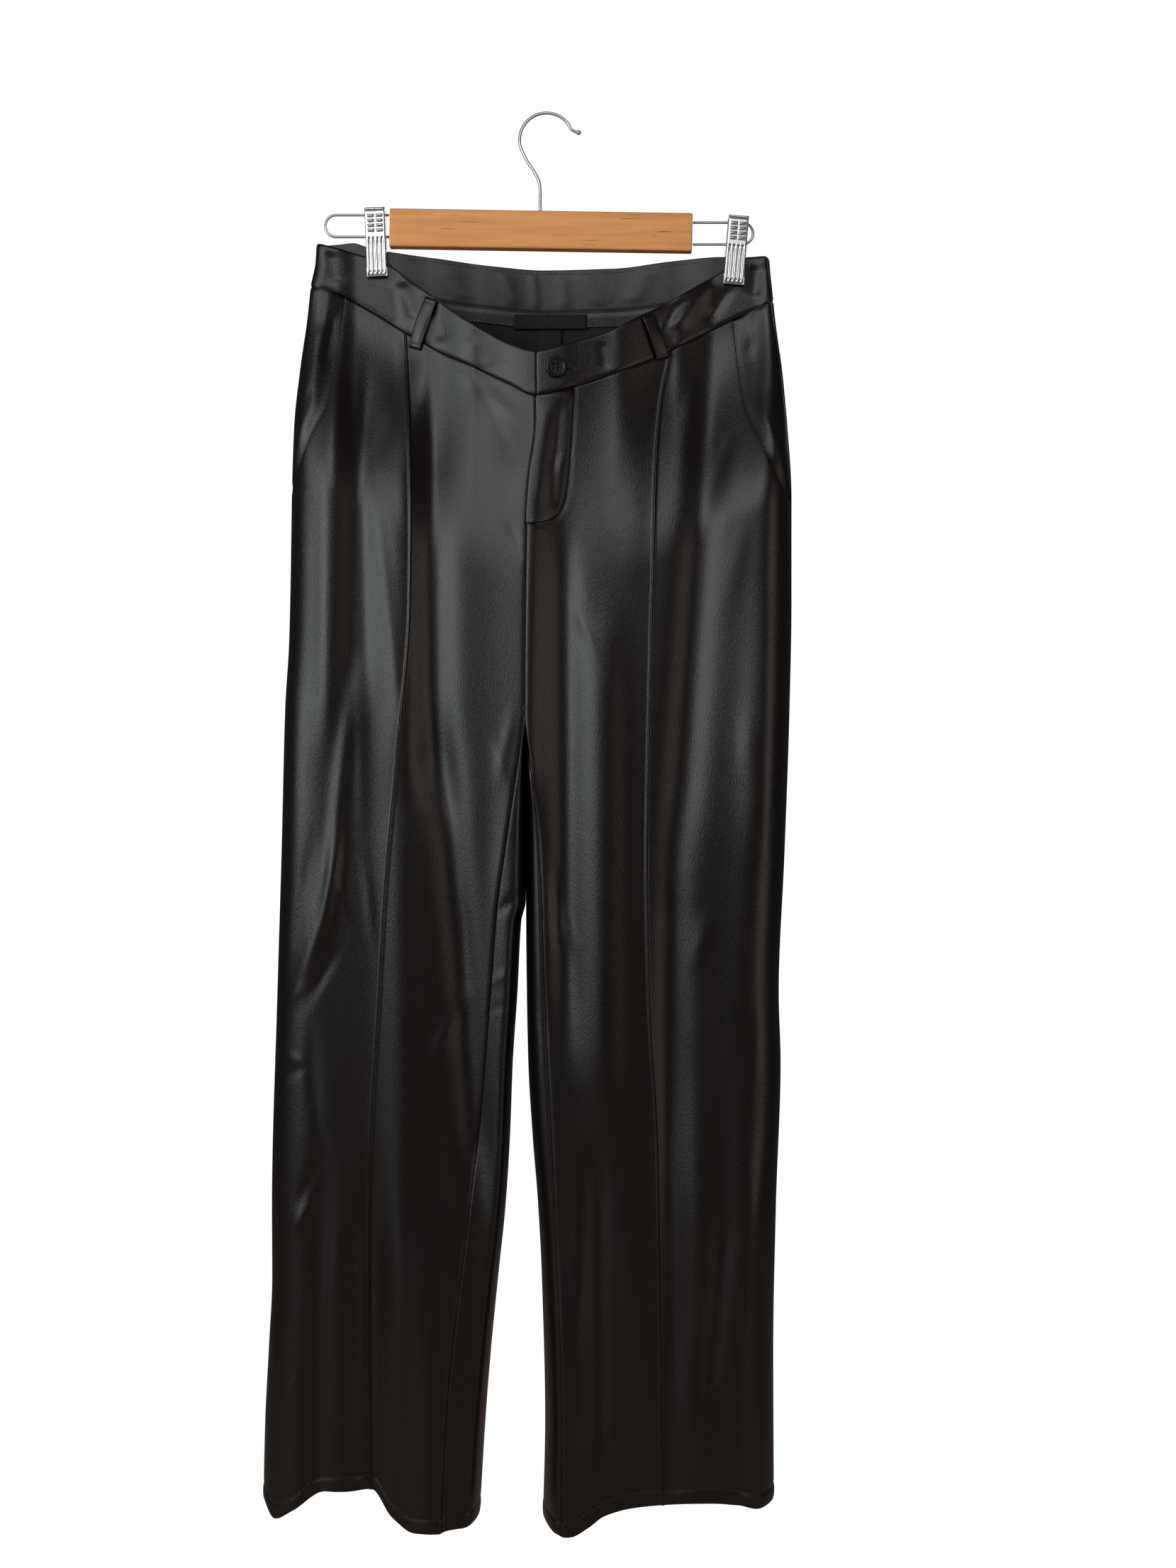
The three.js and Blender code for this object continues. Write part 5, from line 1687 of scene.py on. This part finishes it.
@dataclass
class Sewing:
    """Threads that show: short rounded stitches laid along lines on the cloth.

    Attributes:
        cloth: Finds points on the garment.
        thread: Finish.
        length: Length of a stitch.
        gap: Space between two stitches.
        radius: Thickness of the thread, halved.
    """

    cloth: ClothFace
    thread: bpy.types.Material
    length: float = 2.0
    gap: float = 0.9
    radius: float = 0.26

    def build(self) -> None:
        """Sew every line."""
        ditch, under = self._across(-95, 100), self._across(-118, 120)
        runs = [
            self._inside(look_up(BACK_SEAM, 0, 1, ditch) - 0.5, ditch, 1.45),
            self._inside(look_up(BACK_TOP, 0, 1, under) - 4.0, under, 2.4),
            self._serging(),
        ]
        for side in (LEFT, RIGHT):
            runs.append(self._hem(side))
        runs.append(self._buttonhole())
        for upper, lower in (LEFT_LOOP, RIGHT_LOOP):
            runs.append(self._loop(upper, lower))
        points = np.concatenate(runs, axis=0)
        piece = self._mesh("sewing", points)
        piece.data.materials.append(self.thread)
        LOG.info("%s: %d stitches", piece.name, len(points))

    def _across(self, first: float, last: float) -> Array:
        """Places a stitch apart between two values of x."""
        return np.arange(first, last, self.length + self.gap)

    def _pairs(self, start: Array, end: Array, out: Array) -> Array:
        """Gather each stitch's start, end and outward direction."""
        return np.stack([start, end, out], axis=1)

    def _inside(self, z: Array, x: Array, depth: float) -> Array:
        """Sew along the inner side of the back.

        Args:
            z: Heights of the stitches.
            x: Their left ends.
            depth: Distance in from the outer face.

        Returns:
            The stitches.
        """
        start, out = self.cloth.point(x, z, Face.BACK, -depth - CLOTH)
        end, _ = self.cloth.point(x + self.length, z, Face.BACK, -depth - CLOTH)
        return self._pairs(start, end, -out)

    def _serging(self) -> Array:
        """Sew the zigzag over the lower edge of the facing: slanted threads, each to the next foot.

        Returns:
            The stitches, but for those behind the label.
        """
        x = np.arange(-92.0, 96.0, 1.5)
        z = look_up(BACK_SEAM, 0, 1, x) - 0.15
        odd = np.arange(len(x)) % 2
        start, out = self.cloth.point(x, z - 11.0 + 3.6 * odd, Face.BACK, -CLOTH - 1.9 - 0.35 * odd)
        end, _ = self.cloth.point(x + 1.5, z - 7.4 - 3.6 * odd, Face.BACK, -CLOTH - 2.25 + 0.35 * odd)
        keep = (x < -33) | (x > 30)
        return self._pairs(start, end, -out)[keep]

    def _hem(self, side: Side) -> Array:
        """Sew a line over the hem of one leg, front and back.

        Args:
            side: Which side.

        Returns:
            The stitches.
        """
        low, high = sorted((side.outer[-1][1], side.inner[-1][1]))
        x = np.arange(low + 4.0, high - 4.0, 3.6)
        runs = []
        for face, hem in ((Face.FRONT, side.front_hem), (Face.BACK, side.back_hem)):
            ends = []
            for place in (x, x + self.length):
                z = look_up(hem, 0, 1, place) + HEM_LINE
                ends.append(self.cloth.point(place, z, face, -0.3))
            runs.append(self._pairs(ends[0][0], ends[1][0], ends[0][1]))
        return np.concatenate(runs)

    def _buttonhole(self) -> Array:
        """Sew round the slit beside the button: two rows of short upright threads and a bar.

        Returns:
            The stitches.
        """
        x = np.arange(8.0, 19.0, 0.75)
        runs = []
        for sign in (-1, 1):
            z = BUTTONHOLE[1] + 0 * x
            start, out = self.cloth.point(x, z + sign * 0.25, Face.FRONT, self._seat(x, z))
            end, _ = self.cloth.point(x, z + sign * 1.35, Face.FRONT, self._seat(x, z))
            runs.append(self._pairs(start, end, out))
        z = np.linspace(-213.6, -211.2, 4)
        start, out = self.cloth.point(18.8 + 0 * z, z, Face.FRONT, self._seat(18.8 + 0 * z, z))
        end, _ = self.cloth.point(20.2 + 0 * z, z, Face.FRONT, self._seat(20.2 + 0 * z, z))
        runs.append(self._pairs(start, end, out))
        return np.concatenate(runs)

    def _seat(self, x: Array, z: Array) -> Array:
        """Height of the threads on the right end of the band."""
        return band_lift(x, z) + 0.3

    def _loop(self, upper: tuple[float, float], lower: tuple[float, float]) -> Array:
        """Sew a bar of threads across each end of a belt loop.

        Args:
            upper: x and z of its upper end.
            lower: x and z of its lower end.

        Returns:
            The stitches.
        """
        run = np.array(lower) - np.array(upper)
        across = np.array([-run[1], run[0]]) / np.hypot(*run)
        share = np.arange(-3.6, 3.6, 0.8)
        runs = []
        for down in (0.1, 0.9):
            middle = np.array(upper) + run * down
            rise = LOOP_SEAT + LOOP_RISE * math.sin(math.pi * down) ** 0.6 - 0.28
            place = middle[None, :] + across[None, :] * share[:, None]
            stride = place + across[None, :] * 0.55 + run[None, :] / np.hypot(*run) * 0.5
            start, out = self.cloth.point(place[:, 0], place[:, 1], Face.FRONT, rise)
            end, _ = self.cloth.point(stride[:, 0], stride[:, 1], Face.FRONT, rise)
            runs.append(self._pairs(start, end, out))
        return np.concatenate(runs)

    def _mesh(self, name: str, stitches: Array) -> bpy.types.Object:
        """Make all stitches one mesh of spindles with round ends.

        A stitch is a ring of six points carried along its line in seven steps. Its radius is
        r * sqrt(1 - (2t - 1)^6), and its middle stands 0.12 mm out.

        Args:
            name: Name of the piece.
            stitches: Start, end and outward direction of each stitch.

        Returns:
            The object.
        """
        count, steps, around = len(stitches), 7, 6
        start, end, out = stitches[:, 0], stitches[:, 1], stitches[:, 2]
        run = end - start
        run /= np.linalg.norm(run, axis=1, keepdims=True)
        side = np.cross(run, out)
        side /= np.linalg.norm(side, axis=1, keepdims=True)
        rise = np.cross(side, run)
        t = np.linspace(0, 1, steps)
        turn = np.linspace(0, 2 * math.pi, around, endpoint=False)
        middle = start[:, None, :] + (end - start)[:, None, :] * t[None, :, None]
        middle = middle + rise[:, None, :] * (0.12 * np.sin(math.pi * t))[None, :, None]
        radius = self.radius * np.sqrt(np.clip(1.02 - (2 * t - 1) ** 6, 0, None))
        ring = np.cos(turn)[None, :, None] * side[:, None, :] + np.sin(turn)[None, :, None] * rise[:, None, :]
        points = middle[:, :, None, :] + radius[None, :, None, None] * ring[:, None, :, :]
        index = np.arange(count * steps * around).reshape(count, steps, around)
        ahead = np.roll(index, -1, axis=2)
        quads = np.stack([index[:, :-1], ahead[:, :-1], ahead[:, 1:], index[:, 1:]], axis=-1).reshape(-1, 4)
        caps = np.concatenate([index[:, 0, ::-1], index[:, -1]])
        mesh = bpy.data.meshes.new(name)
        mesh.from_pydata((points.reshape(-1, 3) * MM).tolist(), [], quads.tolist() + caps.tolist())
        turn_outwards(mesh)
        mesh.polygons.foreach_set("use_smooth", np.ones(len(mesh.polygons), dtype=bool))
        piece = bpy.data.objects.new(name, mesh)
        bpy.context.scene.collection.objects.link(piece)
        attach(piece, "root")
        return piece


def close_base(mesh: bpy.types.Mesh) -> None:
    """Close the open loops of a mesh with flat faces.

    Args:
        mesh: The mesh.
    """
    work = bmesh.new()
    work.from_mesh(mesh)
    bmesh.ops.remove_doubles(work, verts=work.verts, dist=1e-7)
    bmesh.ops.holes_fill(work, edges=[edge for edge in work.edges if edge.is_boundary], sides=0)
    bmesh.ops.recalc_face_normals(work, faces=work.faces)
    work.to_mesh(mesh)
    work.free()


@dataclass(frozen=True)
class Finish:
    """A plain material with a fine grain.

    Attributes:
        name: Name of the material.
        colour: Base colour.
        roughness: How dull it is.
        metallic: Whether it is metal.
        grain: Grains in a metre, across and along.
        relief: Depth of the grain in metres.
        coat: Strength of a clear coat.
        sheen: Strength of a soft sheen.
        specular: Strength of the reflection.
    """

    name: str
    colour: tuple[float, float, float]
    roughness: float
    metallic: float = 0.0
    grain: tuple[float, float] = (900.0, 900.0)
    relief: float = 0.0
    coat: float = 0.0
    sheen: float = 0.0
    specular: float = 0.5

    def make(self) -> bpy.types.Material:
        """Make the material: a principled surface with noise as relief, in object coordinates.

        Returns:
            The material.
        """
        material = bpy.data.materials.new(self.name)
        material.use_nodes = True
        tree = material.node_tree
        surface = tree.nodes["Principled BSDF"]
        surface.inputs["Base Color"].default_value = (*self.colour, 1.0)
        surface.inputs["Roughness"].default_value = self.roughness
        surface.inputs["Metallic"].default_value = self.metallic
        surface.inputs["Coat Weight"].default_value = self.coat
        surface.inputs["Coat Roughness"].default_value = 0.25
        surface.inputs["Sheen Weight"].default_value = self.sheen
        surface.inputs["Specular IOR Level"].default_value = self.specular
        if self.relief:
            place = tree.nodes.new("ShaderNodeTexCoord")
            scale = tree.nodes.new("ShaderNodeMapping")
            scale.inputs["Scale"].default_value = (self.grain[0], self.grain[0], self.grain[1])
            noise = tree.nodes.new("ShaderNodeTexNoise")
            noise.inputs["Scale"].default_value = 1.0
            noise.inputs["Detail"].default_value = 3.0
            bump = tree.nodes.new("ShaderNodeBump")
            bump.inputs["Distance"].default_value = self.relief
            bump.inputs["Strength"].default_value = 1.0
            tree.links.new(place.outputs["Object"], scale.inputs["Vector"])
            tree.links.new(scale.outputs["Vector"], noise.inputs["Vector"])
            tree.links.new(noise.outputs["Fac"], bump.inputs["Height"])
            tree.links.new(bump.outputs["Normal"], surface.inputs["Normal"])
        return material


@dataclass(frozen=True)
class Wood:
    """Light cherry wood with long streaks and a few fine dark flecks.

    Attributes:
        name: Name of the material.
        pale: Colour between the streaks.
        dark: Colour of the streaks.
        fleck: Colour of the flecks.
        streaks: Streaks in a metre, along and across the bar.
        flecks: Flecks in a metre, along and across the bar.
    """

    name: str
    pale: tuple[float, float, float] = (0.9, 0.4, 0.135)
    dark: tuple[float, float, float] = (0.75, 0.305, 0.098)
    fleck: tuple[float, float, float] = (0.22, 0.075, 0.022)
    streaks: tuple[float, float] = (14.0, 210.0)
    flecks: tuple[float, float] = (26.0, 620.0)

    def make(self) -> bpy.types.Material:
        """Make the material: stretched noise in object coordinates mixes the three colours.

        Returns:
            The material.
        """
        material = bpy.data.materials.new(self.name)
        material.use_nodes = True
        tree = material.node_tree
        surface = tree.nodes["Principled BSDF"]
        surface.inputs["Roughness"].default_value = 0.5
        surface.inputs["Specular IOR Level"].default_value = 0.3
        streak = self._noise(tree, self.streaks, 3.0, (0.35, 0.72), (self.pale, self.dark))
        fleck = self._noise(tree, self.flecks, 2.0, (0.66, 0.74), ((0.0, 0.0, 0.0), (1.0, 1.0, 1.0)))
        mix = tree.nodes.new("ShaderNodeMix")
        mix.data_type = "RGBA"
        sockets = {socket.name: socket for socket in mix.inputs if socket.type == "RGBA"}
        sockets["B"].default_value = (*self.fleck, 1.0)
        tree.links.new(fleck.outputs["Color"], mix.inputs["Factor"])
        tree.links.new(streak.outputs["Color"], sockets["A"])
        result = next(socket for socket in mix.outputs if socket.type == "RGBA")
        tree.links.new(result, surface.inputs["Base Color"])
        return material

    def _noise(
        self,
        tree: bpy.types.NodeTree,
        scale: tuple[float, float],
        detail: float,
        stops: tuple[float, float],
        colours: tuple[tuple[float, float, float], tuple[float, float, float]],
    ) -> bpy.types.Node:
        """Add noise stretched along the bar and coloured between two stops.

        Args:
            tree: Node tree of the material.
            scale: Patches in a metre, along and across.
            detail: Detail of the noise.
            stops: Where the first colour ends and the second begins.
            colours: The two colours.

        Returns:
            The node that gives the colour.
        """
        place = tree.nodes.new("ShaderNodeTexCoord")
        stretch = tree.nodes.new("ShaderNodeMapping")
        stretch.inputs["Scale"].default_value = (scale[0], scale[1], scale[1])
        stretch.inputs["Rotation"].default_value = (0.0, BAR_TILT, 0.0)
        noise = tree.nodes.new("ShaderNodeTexNoise")
        noise.inputs["Scale"].default_value = 1.0
        noise.inputs["Detail"].default_value = detail
        ramp = tree.nodes.new("ShaderNodeValToRGB")
        for element, stop, colour in zip(ramp.color_ramp.elements, stops, colours):
            element.position = stop
            element.color = (*colour, 1.0)
        tree.links.new(place.outputs["Object"], stretch.inputs["Vector"])
        tree.links.new(stretch.outputs["Vector"], noise.inputs["Vector"])
        tree.links.new(noise.outputs["Fac"], ramp.inputs["Fac"])
        return ramp


@dataclass
class Studio:
    """Camera, soft lights, pale floor and white surroundings.

    Attributes:
        eye: Place of the camera in metres.
        lens: Focal length in millimetres.
        floor: Height of the floor.
        floor_radius: Radius of the floor.
    """

    eye: tuple[float, float, float] = (0.0298, -1.776, -0.5456)
    lens: float = 50.0
    floor: float = -1.4
    floor_radius: float = 2.2

    def build(self) -> None:
        """Set up the picture."""
        data = bpy.data.cameras.new("camera")
        data.lens = self.lens
        data.sensor_width = 36.0
        data.clip_end = 100.0
        camera = bpy.data.objects.new("camera", data)
        camera.location = self.eye
        camera.rotation_euler = (math.pi / 2, 0.0, 0.0)
        bpy.context.scene.collection.objects.link(camera)
        bpy.context.scene.camera = camera
        bpy.context.scene.view_settings.view_transform = "Standard"
        self._light("key", (-1.35, -1.25, -0.15), (1.1, 1.1), 16.8, (0.92, 0.975, 1.0))
        self._light("front", (-0.35, -2.2, 0.8), (1.3, 0.9), 17.0, (1.0, 1.0, 1.0))
        self._light("fill", (1.7, -1.1, -0.5), (0.7, 1.3), 5.0, (1.0, 0.9, 0.82))
        self._light("back", (0.5, 1.6, 0.75), (1.3, 1.3), 19.0, (0.97, 0.98, 1.0))
        self._surroundings()
        self._ground()

    def _light(
        self,
        name: str,
        place: tuple[float, float, float],
        size: tuple[float, float],
        power: float,
        colour: tuple[float, float, float],
    ) -> None:
        """Add a soft rectangular light that looks at the middle of the garment.

        Args:
            name: Name of the light.
            place: Where it stands, in metres.
            size: Its width and height.
            power: Its power in watts.
            colour: Its colour.
        """
        data = bpy.data.lights.new(name, "AREA")
        data.shape = "RECTANGLE"
        data.size, data.size_y = size
        data.energy = power
        data.color = colour
        lamp = bpy.data.objects.new(name, data)
        lamp.location = place
        aim = Vector((0.0, 0.0, -0.55)) - Vector(place)
        lamp.rotation_euler = aim.to_track_quat("-Z", "Y").to_euler()
        bpy.context.scene.collection.objects.link(lamp)

    def _surroundings(self) -> None:
        """White where the camera sees it, dim grey where the surfaces reflect it."""
        world = bpy.data.worlds.new("studio")
        world.use_nodes = True
        tree = world.node_tree
        tree.nodes.clear()
        seen = tree.nodes.new("ShaderNodeBackground")
        seen.inputs["Color"].default_value = (1.0, 1.0, 1.0, 1.0)
        seen.inputs["Strength"].default_value = 1.05
        dim = tree.nodes.new("ShaderNodeBackground")
        dim.inputs["Color"].default_value = (0.9, 0.95, 1.0, 1.0)
        dim.inputs["Strength"].default_value = 0.04
        ray = tree.nodes.new("ShaderNodeLightPath")
        mix = tree.nodes.new("ShaderNodeMixShader")
        out = tree.nodes.new("ShaderNodeOutputWorld")
        tree.links.new(ray.outputs["Is Camera Ray"], mix.inputs["Fac"])
        tree.links.new(dim.outputs["Background"], mix.inputs[1])
        tree.links.new(seen.outputs["Background"], mix.inputs[2])
        tree.links.new(mix.outputs["Shader"], out.inputs["Surface"])
        bpy.context.scene.world = world

    def _ground(self) -> None:
        """Add a round pale floor that is as white as the surroundings where the camera sees it."""
        turn = np.linspace(0, 2 * math.pi, 96, endpoint=False)
        radius = self.floor_radius
        rim = np.stack([radius * np.cos(turn), radius * np.sin(turn), 0 * turn + self.floor], axis=1)
        mesh = bpy.data.meshes.new("floor")
        mesh.from_pydata(rim.tolist(), [], [list(range(len(rim)))])
        ground = bpy.data.objects.new("floor", mesh)
        bpy.context.scene.collection.objects.link(ground)
        material = bpy.data.materials.new("pale_floor")
        material.use_nodes = True
        tree = material.node_tree
        surface = tree.nodes["Principled BSDF"]
        surface.inputs["Base Color"].default_value = (0.38, 0.3, 0.25, 1.0)
        surface.inputs["Roughness"].default_value = 0.9
        glow = tree.nodes.new("ShaderNodeEmission")
        glow.inputs["Strength"].default_value = 1.0
        ray = tree.nodes.new("ShaderNodeLightPath")
        both = tree.nodes.new("ShaderNodeAddShader")
        mix = tree.nodes.new("ShaderNodeMixShader")
        out = tree.nodes["Material Output"]
        tree.links.new(surface.outputs["BSDF"], both.inputs[0])
        tree.links.new(glow.outputs["Emission"], both.inputs[1])
        tree.links.new(ray.outputs["Is Camera Ray"], mix.inputs["Fac"])
        tree.links.new(surface.outputs["BSDF"], mix.inputs[1])
        tree.links.new(both.outputs["Shader"], mix.inputs[2])
        tree.links.new(mix.outputs["Shader"], out.inputs["Surface"])
        ground.data.materials.append(material)


def main() -> None:
    """Build the garment, the hanger and the studio in order."""
    logging.basicConfig(level=logging.INFO, format="%(message)s")
    leather = Finish("leather", (0.0046, 0.0026, 0.0019), 0.36, grain=(1300, 420), relief=0.0002).make()
    lining = Finish("knit_lining", (0.006, 0.0055, 0.0055), 0.9, grain=(1800, 1800), relief=0.0002, sheen=0.2).make()
    inner = Finish("leather_inner", (0.0036, 0.003, 0.0029), 0.4, grain=(1300, 800), relief=0.0002).make()
    tape = Finish("label_tape", (0.003, 0.003, 0.0032), 0.65, grain=(2500, 2500), relief=0.0001, specular=0.25).make()
    thread = Finish("thread", (0.032, 0.032, 0.033), 0.6, sheen=0.1).make()
    horn = Finish("button_black", (0.006, 0.006, 0.007), 0.3).make()
    wood = Wood("bar_wood").make()
    nickel = Finish("clip_nickel", (0.56, 0.56, 0.57), 0.24, 0.9).make()
    zinc = Finish("wire_zinc", (0.5, 0.5, 0.52), 0.32, 0.7).make()
    garment = Garment()
    cloth = ClothFace(garment)
    Panels(garment, leather, lining).build()
    Waistband(garment, leather, inner).build()
    Trims(cloth, leather, tape).build()
    Button(cloth, horn).build()
    Sewing(cloth, thread).build()
    Hanger(wood, nickel, zinc).build()
    for side in (LEFT, RIGHT):
        bpy.data.objects[f"clip_pivot_{side.name}"].data.materials.clear()
        bpy.data.objects[f"clip_pivot_{side.name}"].data.materials.append(nickel)
    Studio().build()


if __name__ == "__main__":
    main()
